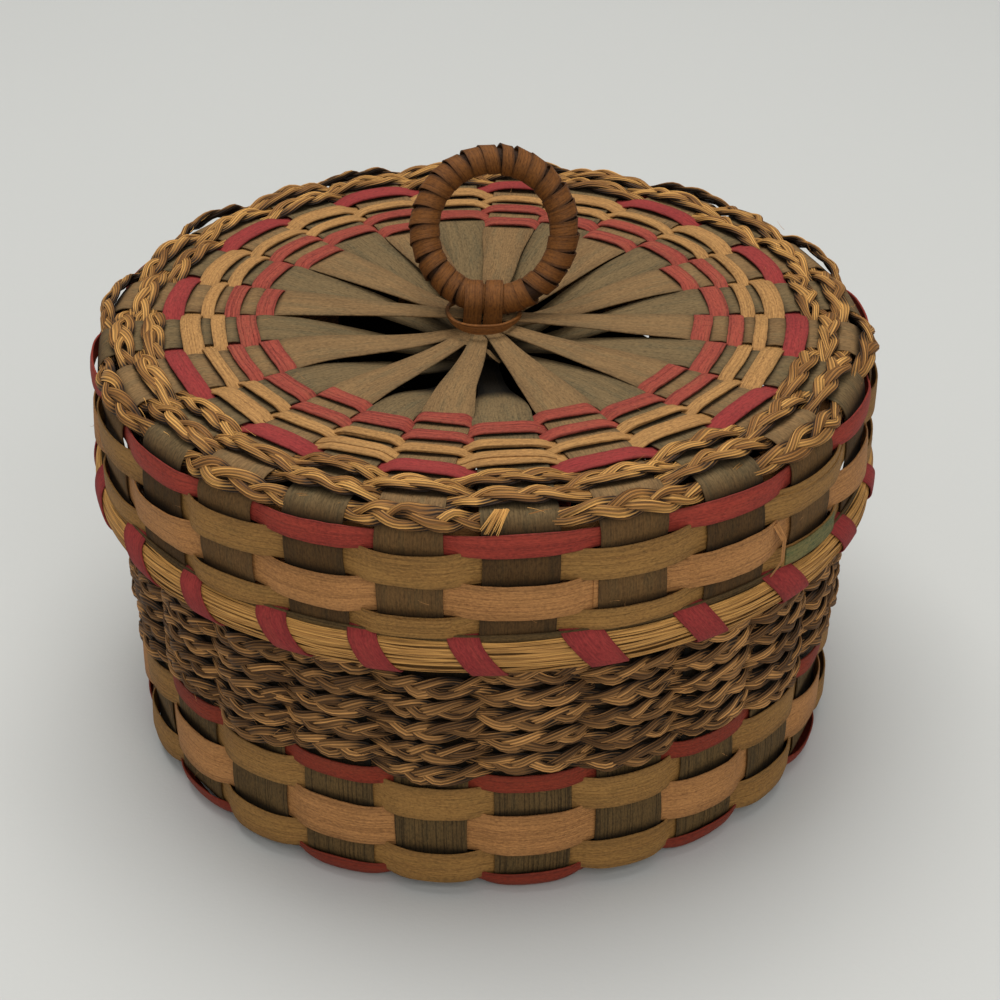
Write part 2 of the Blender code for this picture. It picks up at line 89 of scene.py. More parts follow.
def eased(x, knots, values):
    """Values between knots, with a level start and end to each step."""
    x = np.clip(x, knots[0], knots[-1])
    i = np.clip(np.searchsorted(knots, x) - 1, 0, len(knots) - 2)
    knots, values = np.asarray(knots), np.asarray(values)
    t = (x - knots[i]) / (knots[i + 1] - knots[i])
    t = t * t * (3 - 2 * t)
    return values[i] * (1 - t) + values[i + 1] * t


# %% The form of the lid and of the body
class Dish:
    """One woven half of the basket: a flat middle, a rounded shoulder and a wall.

    Its wall goes down (way -1) or up (way 1) from a plane, at an apothem: the distance from the
    axis to the wall. The run is what the CAD model's 45 degree shoulder takes off the plane.
    """

    def __init__(self, body, hand, way, plane, apothem, run, wall_half):
        self.body = body
        self.hand = hand
        self.way = way
        self.wall_half = wall_half
        self.plane = plane
        self.apothem = apothem
        self.run = run
        self.bend = run / (math.sqrt(2) * (math.sqrt(2) - 1))
        self.turn = apothem - self.bend
        self.wall = self.turn + self.bend * math.pi / 2
        self.rows = []

    def on_plane(self, along):
        """Length along the standards of a place at a distance from the axis, on top or base."""
        past = along - self.turn
        return along if past <= 0 else self.turn + self.bend * math.asin(past / self.bend)

    def on_shoulder(self, along):
        """Length along the standards of a place on the CAD model's 45 degree shoulder."""
        drop = along / math.sqrt(2)
        lean = math.atan2(self.apothem - self.run + drop - self.turn, self.bend - drop)
        return self.turn + self.bend * lean

    def on_wall(self, along):
        """Length along the standards of a place on the wall, from the CAD shoulder's end."""
        depth = self.run + along
        if depth < self.bend:
            return self.turn + self.bend * math.acos(1 - depth / self.bend)
        return self.wall + depth - self.bend

    def spot(self, s):
        """Distance from the axis, height, and the outward direction's two parts."""
        lean = np.clip((s - self.turn) / self.bend, 0, math.pi / 2)
        distance = np.minimum(s, self.turn) + self.bend * np.sin(lean)
        depth = self.bend * (1 - np.cos(lean)) + np.maximum(s - self.wall, 0)
        return distance, self.plane + self.way * depth, np.sin(lean), -self.way * np.cos(lean)

    def point(self, theta, s, out):
        """Points of a ring: at an azimuth, a length along the standards, a distance outside."""
        distance, height, outwards, upwards = self.spot(s)
        return turned(theta, distance + out * outwards, 0, height + out * upwards)


LID_HAND = 11
BODY_HAND = 23
LID = Dish("lid", LID_HAND, -1, 93.84 * MM, 81.65 * MM, 3.37 * MM, 6.9 * MM)
BODY = Dish("basket", BODY_HAND, 1, 0.85 * MM, 75.79 * MM, 3.08 * MM, 7.5 * MM)
print("lid shoulder bends at", round(LID.turn / MM, 1), "mm, body at", round(BODY.turn / MM, 1), "mm")

# %% [markdown]
# ## The maker's hand
# No row on the real basket runs true. Each one wanders, and the wall is a little out of round. A
# few slow waves of random size do this. The seed is fixed, so that each run gives the same basket.


# %% Slow random waves
def waves(angles, seed, size, first=2, last=9):
    """A smooth random line round the basket, which ends where it began."""
    rng = np.random.default_rng(seed)
    total = np.zeros_like(angles)
    for order in range(first, last + 1):
        share = rng.normal() / math.sqrt(last - first + 1)
        total = total + size * share * np.cos(order * angles + rng.uniform(0, 2 * math.pi))
    return total


TURN_STRAY = 0.007
ROUND_STRAY = 0.005
STRAY_START = 0.03
OUT_OF_ROUND_SEED = 1
FLOOR_GAP = 0.05 * MM
# Degrees from the front, and the degrees that the lid's standards are turned there
CROWD_PLACES = [-78, -51, -38, -23, -8, 5, 20, 36, 55]
CROWD_TURNS = [0, 3, 0.9, 0.2, -2, -3, -1.5, -1, 0]


def crowded(angle):
    """How far the lid's standards crowd to one side at the front."""
    from_front = np.degrees(np.mod(angle - math.pi / 2, 2 * math.pi)) - 180
    return np.radians(eased(from_front, CROWD_PLACES, CROWD_TURNS))


def by_hand(points, dish):
    """The points moved as a hand-woven wall strays: turned a little, and out of round."""
    angle = np.arctan2(points[..., 1], points[..., 0])
    radius = np.hypot(points[..., 0], points[..., 1])
    share = np.clip(radius / STRAY_START, 0, 1)
    stray = waves(angle, dish.hand, TURN_STRAY, 3, 12)
    if dish is LID:
        stray = stray + crowded(angle)
    angle = angle + share * share * stray
    radius = radius * (1 + waves(angle, OUT_OF_ROUND_SEED, ROUND_STRAY, 2, 4))
    height = np.maximum(points[..., 2], FLOOR_GAP)
    return np.stack((radius * np.cos(angle), radius * np.sin(angle), height), -1)


# %% [markdown]
# ## Sweeping a strip
# Splints, braids, hoops and lashings are all long things with one section. Blender can sweep a
# curve with a bevel object, but a woven strip changes its width, tilt and section all the way, so
# the rings of points are worked out here and joined with faces. Each point also keeps three
# notes for the finishes: where it lies in the wood, how light its strand is (with painted light on
# a braid strand's crown), and how much painted shade it gets where it lies deep or in a crevice.


# %% A sweep and its notes
class Sweep:
    """Rings of points, with the notes that the finishes read."""

    def __init__(self, points, closed, along, across, seed, tone=0.5, shade=0.0):
        self.points = points
        self.closed = closed
        count, corners = points.shape[:2]
        wide = np.ones((count, corners))
        self.grain = np.stack((wide * along, wide * across, wide * (seed % 97)), -1)
        self.tone = wide * tone
        self.shade = wide * shade


def write_note(mesh, name, kind, key, parts):
    """One note of every point, from all sweeps of a piece, kept on the mesh for the finishes."""
    note = mesh.attributes.new(name, kind, "POINT")
    values = np.concatenate([part.ravel() for part in parts])
    note.data.foreach_set(key, values.astype(np.float32))


def sweep_faces(sweep, first):
    """The faces between the rings of a sweep, and its two ends where it is open."""
    count, corners = sweep.points.shape[:2]
    index = first + np.arange(count * corners).reshape(count, corners)
    after = np.roll(index, -1, axis=0) if sweep.closed else index[1:]
    near = index if sweep.closed else index[:-1]
    quads = np.stack((near, np.roll(near, -1, axis=1), np.roll(after, -1, axis=1), after), -1)
    ends = [] if sweep.closed else [index[0][::-1].tolist(), index[-1].tolist()]
    return quads.reshape(-1, 4).tolist() + ends


SHARP = math.radians(32)


def make_piece(name, sweeps, finish, body, nodes):
    """One piece of the basket from its sweeps. It replaces its CAD nodes and rides on a body."""
    faces, first = [], 0
    for sweep in sweeps:
        faces += sweep_faces(sweep, first)
        first += sweep.points.shape[0] * sweep.points.shape[1]
    mesh = bpy.data.meshes.new(name)
    points = np.concatenate([sweep.points.reshape(-1, 3) for sweep in sweeps])
    mesh.from_pydata(points.tolist(), [], faces)
    write_note(mesh, "grain", "FLOAT_VECTOR", "vector", [sweep.grain for sweep in sweeps])
    write_note(mesh, "tone", "FLOAT", "value", [sweep.tone for sweep in sweeps])
    write_note(mesh, "shade", "FLOAT", "value", [sweep.shade for sweep in sweeps])
    mesh.materials.append(finish)
    mesh.shade_smooth()
    mesh.set_sharp_from_angle(angle=SHARP)
    piece = bpy.data.objects.new(name, mesh)
    bpy.context.scene.collection.objects.link(piece)
    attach(piece, body)
    if nodes:
        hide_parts(*nodes)
    return piece


# %% [markdown]
# ## The section of a splint
# A splint is flat, but its corners are worn round. The section is a short list of places across
# and through the strip, each from -1 to 1, and every strip below stretches it to its own size.

# %% The section of a splint
STRIP_SECTION = [(-1, -0.4), (-0.96, -1), (-0.5, -1), (0, -1), (0.5, -1), (0.96, -1)]
STRIP_SECTION += [(1, -0.4), (1, 0.4), (0.96, 1), (0.5, 1), (0, 1), (-0.5, 1), (-0.96, 1), (-1, 0.4)]
ACROSS = np.array([across for across, _ in STRIP_SECTION])
THROUGH = np.array([through for _, through in STRIP_SECTION])
# Painted shade: a strip darkens towards its edges, where it meets the next strip
EDGE_SHADE = np.abs(ACROSS) ** 8

# %% [markdown]
# ## Shader maths in plain Python
# A finish is a graph of small nodes. Wiring each one by hand hides what the finish does, so one
# class wraps a socket and lets Python's own operators add the Math nodes. Every other node comes
# from one method that is given its type, its settings and what feeds it.


# %% A finish and its sockets
def linear(red, green, blue):
    """A colour given as 0 to 255 steps, as light values for a shader."""
    shares = [step / 255 for step in (red, green, blue)]
    lit = [share / 12.92 if share <= 0.04045 else ((share + 0.055) / 1.055) ** 2.4 for share in shares]
    return (*lit, 1)


class Wire:
    """An output of a node, with Python's operators for maths on numbers."""

    def __init__(self, finish, socket):
        self.finish = finish
        self.socket = socket

    def maths(self, operation, first, second):
        return self.finish.node("Math", {"operation": operation}, {0: first, 1: second})

    def __add__(self, other):
        return self.maths("ADD", self, other)

    def __radd__(self, other):
        return self.maths("ADD", other, self)

    def __sub__(self, other):
        return self.maths("SUBTRACT", self, other)

    def __rsub__(self, other):
        return self.maths("SUBTRACT", other, self)

    def __mul__(self, other):
        return self.maths("MULTIPLY", self, other)

    def __rmul__(self, other):
        return self.maths("MULTIPLY", other, self)

    def __pow__(self, other):
        return self.maths("POWER", self, other)


# Dry wood and dry grass barely shine, so one low level serves every finish
GLOSS_LEVEL = 0.22


class Finish:
    """A material that is wired up step by step."""

    def __init__(self, name):
        self.material = bpy.data.materials.new(name)
        self.material.use_nodes = True
        self.tree = self.material.node_tree
        self.shader = self.tree.nodes["Principled BSDF"]

    def feed(self, socket, value):
        """A number, a colour or another node's output goes into a socket."""
        if isinstance(value, Wire):
            self.tree.links.new(value.socket, socket)
        else:
            socket.default_value = value

    def node(self, kind, settings, sockets, out=0):
        """A node of a type, with its settings made first and then its sockets fed."""
        made = self.tree.nodes.new("ShaderNode" + kind)
        for key, value in settings.items():
            if key == "stops":
                self.set_stops(made.color_ramp, value)
            else:
                setattr(made, key, value)
        for key, value in sockets.items():
            self.feed(made.inputs[key], value)
        return Wire(self, made.outputs[out])

    def set_stops(self, ramp, stops):
        """The places and colours of a colour ramp."""
        while len(ramp.elements) < len(stops):
            ramp.elements.new(0.5)
        for element, (place, colour) in zip(ramp.elements, stops):
            element.position = place
            element.color = colour

    def note(self, name, out):
        """A note that the sweeps left on the mesh."""
        return self.node("Attribute", {"attribute_name": name}, {}, out)

    def stretched(self, vector, sizes):
        """A vector with each of its parts multiplied."""
        return self.node("VectorMath", {"operation": "MULTIPLY"}, {0: vector, 1: sizes})

    def noise(self, vector, detail=2, roughness=0.5):
        """Soft random marks, 0 to 1."""
        sockets = {"Vector": vector, "Scale": 1, "Detail": detail, "Roughness": roughness}
        return self.node("TexNoise", {}, sockets)

    def ramp(self, value, low, high):
        """0 below low and 1 above high."""
        sockets = {"Value": value, "From Min": low, "From Max": high}
        return self.node("MapRange", {"interpolation_type": "SMOOTHSTEP"}, sockets)

    def mix(self, share, first, second, blend="MIX"):
        """Two colours mixed."""
        settings = {"data_type": "RGBA", "blend_type": blend}
        return self.node("Mix", settings, {0: share, 6: first, 7: second}, 2)

    def finish_with(self, colour, roughness, height, depth):
        """The shader's own sockets: colour, roughness and a bump of some depth."""
        self.shader.inputs["Specular IOR Level"].default_value = GLOSS_LEVEL
        bump = self.node("Bump", {}, {"Height": height, "Distance": depth, "Strength": 1})
        self.feed(self.shader.inputs["Base Color"], colour)
        self.feed(self.shader.inputs["Roughness"], roughness)
        self.feed(self.shader.inputs["Normal"], bump)
        return self.material


# %% [markdown]
# ## The finish of ash splint
# Ash is ring-porous: along the strip run fine fibres, darker lines of open pores and slow bands
# where the growth layer was cut. Dye has soaked in unevenly and faded where hands and light
# reached it, and split wood is never smooth, so a fine fuzz lies over all. Stretched noise, in
# the strip's own lengths rather than in world space, draws all of this along the wood however the
# strip bends.


# %% Ash splint
# Marks per metre along and across the strip, and a number that gives each kind its own pattern
FIBRES = (140, 5200, 1)
RIBS = (9, 2100, 3)
PORES = (420, 6800, 5)
PATCHES = (45, 160, 7)
FADING = (70, 420, 11)
FUZZ = (1100, 2300, 13)
# A standard's notes count from its middle, and the skirt starts at this length along it
SIDE_START = 77 * MM
SIDE_BLEND = 7 * MM
ASH_BUMP = 0.14 * MM


def ash(name, light, mid, deep, pore_depth, fade, fade_colour, rough, rib_depth, side=None):
    """Split ash: three shades of its colour, and how strong its pores, fading and ribs are."""
    make = Finish(name)
    grain = make.note("grain", 1)
    fibre = make.noise(make.stretched(grain, FIBRES), 3, 0.6)
    rib = make.noise(make.stretched(grain, RIBS), 2, 0.5)
    pores = make.noise(make.stretched(grain, PORES), 2, 0.5)
    patches = make.noise(make.stretched(grain, PATCHES), 3, 0.6)
    worn = make.ramp(make.noise(make.stretched(grain, FADING), 4, 0.65), 0.46, 0.66)
    fuzz = make.noise(make.stretched(grain, FUZZ), 2, 0.6)
    line = make.ramp(rib, 0.53, 0.63) * make.ramp(fibre, 0.25, 0.6)
    pore = make.ramp(pores, 0.60, 0.72)
    colour = make.mix(make.ramp(patches, 0.3, 0.72), linear(*mid), linear(*light))
    colour = make.mix(make.note("tone", 2) * 0.4, colour, linear(*light))
    colour = make.mix(worn * fade, colour, linear(*fade_colour))
    colour = make.mix(line * rib_depth, colour, linear(*deep))
    colour = make.mix(pore * pore_depth, colour, linear(*deep))
    pale = [min(step * 1.18, 255) for step in light]
    colour = make.mix(make.ramp(fibre, 0.3, 0.8) * 0.45, colour, linear(*pale))
    colour = make.mix(make.ramp(1 - fibre, 0.5, 0.8) * 0.42, colour, linear(*deep))
    colour = make.mix(make.ramp(fuzz, 0.5, 0.7) * 0.4, colour, linear(*pale))
    colour = make.mix(make.ramp(1 - fuzz, 0.5, 0.7) * 0.38, colour, linear(*deep))
    # On the skirt: a browner stain, with painted shade that darkens it
    if side:
        from_middle = make.node("SeparateXYZ", {}, {0: grain})
        length = from_middle.maths("ABSOLUTE", from_middle, 0)
        on_side = make.ramp(length, SIDE_START, SIDE_START + SIDE_BLEND)
        colour = make.mix(on_side, colour, side, "MULTIPLY")
    # Painted shade: the shade note darkens strip edges, crevices, the ring's slits and the lower splints
    shade_colour = linear(*[step * 0.5 for step in deep])
    colour = make.mix(make.note("shade", 2) * 0.3, colour, shade_colour)
    roughness = rough + 0.2 * fibre
    height = fibre * 0.5 - pore * 0.4 - line * rib_depth
    return make.finish_with(colour, roughness, height, ASH_BUMP)


# Shares of its red, green and blue that a standard keeps on the skirt, where it is stained browner
# and darkened with painted shade
SIDE_BROWN = (0.61, 0.54, 0.44, 1)
SIDE_GREEN = (0.47, 0.355, 0.25, 1)
# Light, middle and deep colour, pore depth, how faded and to which colour, roughness, rib depth
ASH_KINDS = {
    "brown_ash": (
        (134, 105, 68), (115, 88, 56), (72, 52, 31), 0.3, 0.6, (101, 88, 61), 0.75, 0.3, SIDE_BROWN
    ),
    "green_ash": (
        (119, 98, 66), (99, 82, 54), (48, 39, 25), 0.3, 0.55, (82, 78, 57), 0.78, 0.3, SIDE_GREEN
    ),
    "wall_ash": ((100, 77, 44), (80, 61, 35), (28, 21, 10), 0.35, 0.45, (67, 58, 36), 0.75, 0.85),
    "tan_ash": ((176, 124, 73), (156, 108, 60), (102, 64, 33), 0.3, 0.35, (161, 108, 63), 0.6, 0.5),
    "khaki_ash": ((176, 131, 77), (155, 112, 64), (97, 64, 33), 0.3, 0.4, (137, 105, 60), 0.62, 0.45),
    "olive_ash": ((151, 111, 58), (133, 94, 47), (83, 53, 23), 0.3, 0.4, (117, 88, 44), 0.62, 0.5),
    "pink_ash": ((154, 70, 53), (131, 49, 42), (84, 27, 26), 0.45, 0.35, (143, 85, 58), 0.64, 0.65),
    "red_ash": ((153, 58, 44), (132, 45, 35), (90, 28, 22), 0.3, 0.25, (143, 66, 45), 0.62, 0.5),
    "brick_ash": ((132, 50, 30), (117, 40, 24), (74, 23, 14), 0.3, 0.3, (121, 61, 35), 0.62, 0.4),
    "magenta_ash": ((145, 53, 49), (128, 40, 41), (84, 25, 26), 0.35, 0.25, (137, 65, 51), 0.7, 0.25),
    "handle_ash": ((118, 73, 30), (98, 57, 20), (50, 26, 9), 0.35, 0.45, (82, 51, 20), 0.58, 0.4),
    "stained_ash": ((121, 109, 64), (86, 93, 57), (39, 57, 36), 0.3, 0.7, (46, 78, 48), 0.62, 0.3),
}
ASH = {name: ash(name, *kind) for name, kind in ASH_KINDS.items()}


# %% [markdown]
# ## The finish of sweetgrass
# A braid's strands are bundles of thin dried blades, each a little lighter or browner than the
# next, with a satin skin. The seams between them are darkened with painted shade from the notes.


# %% Sweetgrass
STREAKS = (90, 5200, 1)
DRIFT = (60, 300, 5)
GRASS_BUMP = 0.16 * MM


def sweetgrass(name, light, mid, deep, rough):
    """Dried sweetgrass: the tones of its blades, and painted shade in its seams, sides and gaps."""
    make = Finish(name)
    grain = make.note("grain", 1)
    tone = make.note("tone", 2)
    streaks = make.noise(make.stretched(grain, STREAKS), 3, 0.6)
    drift = make.noise(make.stretched(grain, DRIFT), 2, 0.5)
    pale = make.ramp(tone + 0.35 * drift - 0.17, 0.35, 0.95)
    brown = make.ramp(1 - tone + 0.3 * streaks - 0.15, 0.5, 1.0)
    colour = make.mix(pale, linear(*mid), linear(*light))
    colour = make.mix(brown * 0.6, colour, linear(*deep))
    colour = make.mix(make.ramp(streaks, 0.52, 0.62) * 0.6, colour, linear(*deep))
    colour = make.mix(make.ramp(1 - streaks, 0.54, 0.66) * 0.4, colour, linear(*light))
    # Painted shade: the shade note darkens seams, a strand's sides, under-crossings and gaps
    shade_colour = linear(*[step * 0.45 for step in deep])
    colour = make.mix(make.note("shade", 2) * 0.8, colour, shade_colour)
    roughness = rough + 0.22 * streaks
    return make.finish_with(colour, roughness, 1 - streaks, GRASS_BUMP)


# Light, middle and deep colour, and roughness
GRASS_KINDS = {
    "lid_sweetgrass": ((245, 183, 99), (164, 111, 54), (76, 46, 19), 0.48),
    "rim_sweetgrass": ((226, 169, 92), (176, 125, 64), (84, 53, 25), 0.48),
    "wall_sweetgrass": ((232, 168, 97), (118, 80, 42), (46, 28, 11), 0.55),
}
GRASS = {name: sweetgrass(name, *kind) for name, kind in GRASS_KINDS.items()}
print("finishes:", ", ".join(list(ASH) + list(GRASS)))

# %% [markdown]
# ## The rows, from the centre out and down the wall
# Each row has its place along the standards, its width, and the set of standards that it goes
# over. The list comes first, because the standards bend a little under each row.


# %% Lists of the rows
class Row:
    """A row of the weave: where its middle lies, half its width, and which set it goes over."""

    def __init__(self, dish, name, start, end, over):
        self.dish = dish
        self.name = name
        self.middle = (start + end) / 2
        self.half = (end - start) / 2
        self.over = over
        dish.rows.append(self)


LID_TOP = [
    ("lid_pink_row_1", 44.8, 48.1),
    ("lid_pink_row_2", 48.35, 51.95),
    ("lid_pink_row_3", 52.2, 54.8),
    ("lid_tan_row_1", 55.05, 57.45),
    ("lid_tan_row_2", 57.7, 59.8),
    ("lid_tan_row_3", 60.05, 63.85),
    ("lid_magenta_row", 64.1, 67.9),
    ("lid_braid_1", 68.15, 71.05),
    ("lid_braid_2", 71.3, 74.2),
    ("lid_braid_3", 74.45, 77.35),
]
for number, (name, start, end) in enumerate(LID_TOP):
    over = LOWER if number % 2 else UPPER
    Row(LID, name, LID.on_plane(start * MM), LID.on_plane(end * MM), over)
Row(LID, "lid_braid_4", LID.on_shoulder(0.93 * MM), LID.on_shoulder(3.83 * MM), UPPER)
SKIRT = [
    ("skirt_red_row", 0.5, 4.8, LOWER),
    ("skirt_tan_row_1", 5.0, 10.9, UPPER),
    ("skirt_tan_row_2", 11.2, 18.2, LOWER),
    ("skirt_tan_row_3", 18.4, 22.3, UPPER),
]
for name, start, end, over in SKIRT:
    Row(LID, name, LID.on_wall(start * MM), LID.on_wall(end * MM), over)
LID_RIM = (LID.on_wall(23.23 * MM), LID.on_wall(30.63 * MM))

Row(BODY, "base_row_1", BODY.on_plane(47.0 * MM), BODY.on_plane(59.5 * MM), LOWER)
Row(BODY, "base_row_2", BODY.on_plane(59.7 * MM), BODY.on_plane(72.2 * MM), UPPER)
Row(BODY, "body_red_row_low", BODY.on_shoulder(0.48 * MM), BODY.on_shoulder(3.88 * MM), LOWER)
WALL = [
    ("body_tan_row_1", 0.5, 6.9, UPPER),
    ("body_tan_row_2", 7.1, 16.3, LOWER),
    ("body_tan_row_3", 16.6, 22.8, UPPER),
    ("body_red_row_high", 23.0, 26.5, LOWER),
]
for name, start, end, over in WALL:
    Row(BODY, name, BODY.on_wall(start * MM), BODY.on_wall(end * MM), over)
BRAID_LEVELS = 10
BRAID_HEIGHT = 2.4 * MM
BRAID_STEP = 2.65 * MM
BRAID_START = BODY.on_wall(26.78 * MM)
wall_levels = []
for level in range(BRAID_LEVELS):
    start = BRAID_START + level * BRAID_STEP
    over = LOWER if level % 2 else UPPER
    wall_levels.append(Row(BODY, "wall_braid", start, start + BRAID_HEIGHT, over))
Row(BODY, "body_broad_row_1", BODY.on_wall(53.3 * MM), BODY.on_wall(66.2 * MM), UPPER)
Row(BODY, "body_broad_row_2", BODY.on_wall(66.4 * MM), BODY.on_wall(79.3 * MM), LOWER)
BODY_RIM = (BODY.on_wall(80.2 * MM), BODY.on_wall(86.2 * MM))
print(len(LID.rows), "rows on the lid,", len(BODY.rows), "on the body")

# %% [markdown]
# ## The standards
# A standard is one long splint, narrow where all twelve cross and wide like a petal where the
# first row holds it. The upper six lie over the lower six. Under a row that passes outside, a
# standard is pressed in, and under one that passes inside it is pushed out. The lid's middle has
# sunk with use. At its front the lower splints hang loose, which opens dark wedges between them
# and the upper ones, and elsewhere they lie close beneath. The lower splints get painted shade
# near the middle, deepest where they hang loose, and every standard gets painted shade beside the
# rows over it and behind the wall's braids.

# %% Sizes of the splints
THICK = 0.4 * MM
STACK_STEP = 0.5 * MM
PRESS = 0.22 * MM
PRESS_END = 4 * MM
STATION = 0.9 * MM
CROSSING_END = 10.5 * MM
WAIST_END = 7 * MM
PETAL_END = 42 * MM
EYE = 44 * MM
LID_SINK = 3.4 * MM
LOWER_SINK = 9.0 * MM
BASE_RISE = 2.6 * MM
CUP = 0.12 * MM
# Degrees: where the loose arms' middle lies, how far they reach, and over how much they change
LOOSE_MIDDLE = 258
LOOSE_END = 48
LOOSE_BLEND = 22
# Dark where little light comes: by rows, behind braids, and under the upper set near the middle
CREVICE_SHADE = 2.3
CREVICE_WIDE = 0.9 * MM
BRAIDED_SHADE = 2.6
TIGHT_END, TIGHT_SHADE = 20 * MM, 1.6
HANGING_END, HANGING_SHADE = 31 * MM, 3.2
UNDER_SET_SHADE_BLEND = 11 * MM


# %% How a standard lies
def pressed(dish, s, half_set):
    """How far the rows push a standard of one set outwards."""
    knots = [dish.rows[0].middle - PRESS_END] + [row.middle for row in dish.rows]
    knots += [dish.rows[-1].middle + PRESS_END]
    pushes = [0] + [-PRESS if row.over == half_set else PRESS for row in dish.rows] + [0]
    return eased(s, knots, pushes)


def crevice_shade(dish, s, half_set):
    """Painted shade on a standard beside the rows that pass over it, and behind the wall's braids."""
    dark = np.zeros_like(s)
    for row in dish.rows:
        if row.name == "wall_braid":
            dark = np.maximum(dark, BRAIDED_SHADE * (np.abs(s - row.middle) < BRAID_STEP))
        elif row.over == half_set:
            gap = np.abs(s - row.middle) - row.half
            dark = np.maximum(dark, CREVICE_SHADE * np.clip(1 - gap / CREVICE_WIDE, 0, 1))
    return dark


def at_front(k, arm):
    """1 for an arm (1 or -1) that points to the front, where it may hang loose, and 0 for others."""
    azimuth = math.degrees(standard_angle(k)) + (0 if arm > 0 else 180)
    from_middle = abs((azimuth - LOOSE_MIDDLE + 180) % 360 - 180)
    return float(np.clip((LOOSE_END - from_middle) / LOOSE_BLEND, 0, 1))


def petal_half(dish, s, waist, petal):
    """Half the width of a standard, from its waist to its petal and on to the wall."""
    edge = dish.apothem - dish.run
    bulge = np.clip((s - WAIST_END) / (PETAL_END - WAIST_END), 0, 1) ** 1.25
    near = waist + (petal - waist) * bulge
    far = np.clip((s - EYE) / (edge - EYE), 0, 1)
    return near + (dish.wall_half - petal) * far


# %% Splints through the centre
class SplintSet:
    """Six splints of a dish: finish, half widths, and how far they sink towards the centre."""

    def __init__(self, finish, slot, waist, petal, sink, tight_sink=None):
        self.finish = finish
        self.slot = slot
        self.waist = waist
        self.petal = petal
        self.sink = sink
        self.tight_sink = tight_sink


def splint(dish, k, level, kind, rim_end, seed):
    """One splint with its two arms, as a strip of rings, at its level where all twelve cross."""
    half_set = k % 2
    p = np.linspace(-rim_end, rim_end, 2 * int(rim_end / STATION) + 1)
    s = np.abs(p)
    rng = np.random.default_rng(seed)
    distance, height, outwards, upwards = dish.spot(s)
    drop = 1 - eased(s, [0, CROSSING_END, EYE], [0, 0.06, 1])
    loose = np.where(p > 0, at_front(k, 1), at_front(k, -1))
    sink = kind.sink * drop
    if kind.tight_sink:
        near = np.clip(1 - s / EYE, 0, 1) ** 4
        tight = kind.tight_sink * drop + (kind.sink - kind.tight_sink) * near
        sink = loose * sink + (1 - loose) * tight
    top = STACK_STEP / 2 * (1 if half_set == UPPER else -1)
    stack = level * drop + top * (1 - drop) - sink
    fade = 1 - np.clip((s - EYE + 2 * MM) / (4 * MM), 0, 1)
    # On the body the outside is underneath, so a stack that goes up goes inwards there
    out = -dish.way * stack * fade + pressed(dish, s, half_set)
    around = p / rim_end * math.pi
    half = petal_half(dish, s, kind.waist, kind.petal) * (1 + waves(around, seed, 0.018, 3, 14))
    side = waves(around, seed + 1, 0.35 * MM, 2, 7) * np.clip(s / (60 * MM), 0, 1)
    roll = waves(around, seed + 2, 0.012, 2, 9)
    cup = CUP * np.clip((s - 8 * MM) / (30 * MM), 0, 1)
    across = half[:, None] * ACROSS
    depth = out[:, None] + THROUGH * THICK / 2 - cup[:, None] * ACROSS**2 * outwards[:, None]
    depth = depth + roll[:, None] * across
    reach = (distance[:, None] + depth * outwards[:, None]) * np.sign(p + 1e-9)[:, None]
    level_height = height[:, None] + depth * upwards[:, None]
    points = turned(standard_angle(k), reach, across + side[:, None], level_height)
    # Painted shade: crevices by the rows and braids, and on the lower set near the middle, under the
    # upper one
    dark = crevice_shade(dish, s, half_set)
    if half_set == LOWER:
        shaded_end = TIGHT_END + (HANGING_END - TIGHT_END) * loose
        under_set_shade = TIGHT_SHADE + (HANGING_SHADE - TIGHT_SHADE) * loose
        dark = dark + np.clip((shaded_end - s) / UNDER_SET_SHADE_BLEND, 0, 1) * under_set_shade
    shade = EDGE_SHADE + dark[:, None]
    return Sweep(by_hand(points, dish), False, p[:, None], across, seed, rng.uniform(0, 1), shade)


def splints(dish, name, sets, top_lift, rim_end):
    """All twelve splints of one dish, each as its own piece. The last lies a little higher."""
    for number in range(SPLINTS):
        half_set = number % 2
        place_in_set = number // 2
        level = place_in_set + (0.5 if half_set == UPPER else 0.5 - SPLINTS / 2)
        lift = top_lift if number == SPLINTS - 1 else 0
        k = (number + SPLINTS // 2) % STANDARDS
        kind = sets[half_set]
        sweep = splint(dish, k, level * STACK_STEP + lift, kind, rim_end, 100 + number)
        place = f"{number + 1:02d}"
        node = f"{name}_standard_{place}"
        make_piece(f"{name}_splint_{place}", [sweep], ASH[kind.finish], dish.body, [node])


lid_sets = (
    SplintSet("green_ash", "green_ash", 2.7 * MM, 5.7 * MM, LOWER_SINK, LID_SINK),
    SplintSet("brown_ash", "brown_ash", 2.0 * MM, 5.8 * MM, LID_SINK),
)
splints(LID, "lid", lid_sets, 0.8 * MM, LID_RIM[1])
body_sets = (
    SplintSet("wall_ash", "green_ash", 2.0 * MM, 5.0 * MM, -BASE_RISE),
    SplintSet("wall_ash", "green_ash", 2.0 * MM, 5.0 * MM, -BASE_RISE),
)
splints(BODY, "body", body_sets, 0, BODY_RIM[1])
print("24 splints")

# %% [markdown]
# ## The woven splint rows
# A row bulges over each standard of its set and dips behind the next. Where the standards stand
# close it has to turn over sharply, and on the wall it swings in long arcs. A cosine that is
# flattened at its ends gives both, and a few slow waves keep any two arcs from being alike.

# %% How a row runs
RISE = 1.45 * MM
DIP = 1.05 * MM
INNER_RISE = 0.95 * MM
INNER_DIP = 0.8 * MM
ROUND_EASE = 0.3 * MM
OVERLAP = 0.33 * MM
CROWN = 0.05 * MM
ROW_STEPS = 16


def weave_way(theta, over, square):
    """1 in the middle of each standard that a row goes over, and -1 where it goes under."""
    swing = np.cos(math.pi * ((theta - standard_angle(0)) / PITCH - over))
    return swing * math.sqrt(1 + square**2) / np.sqrt(swing**2 + square**2)


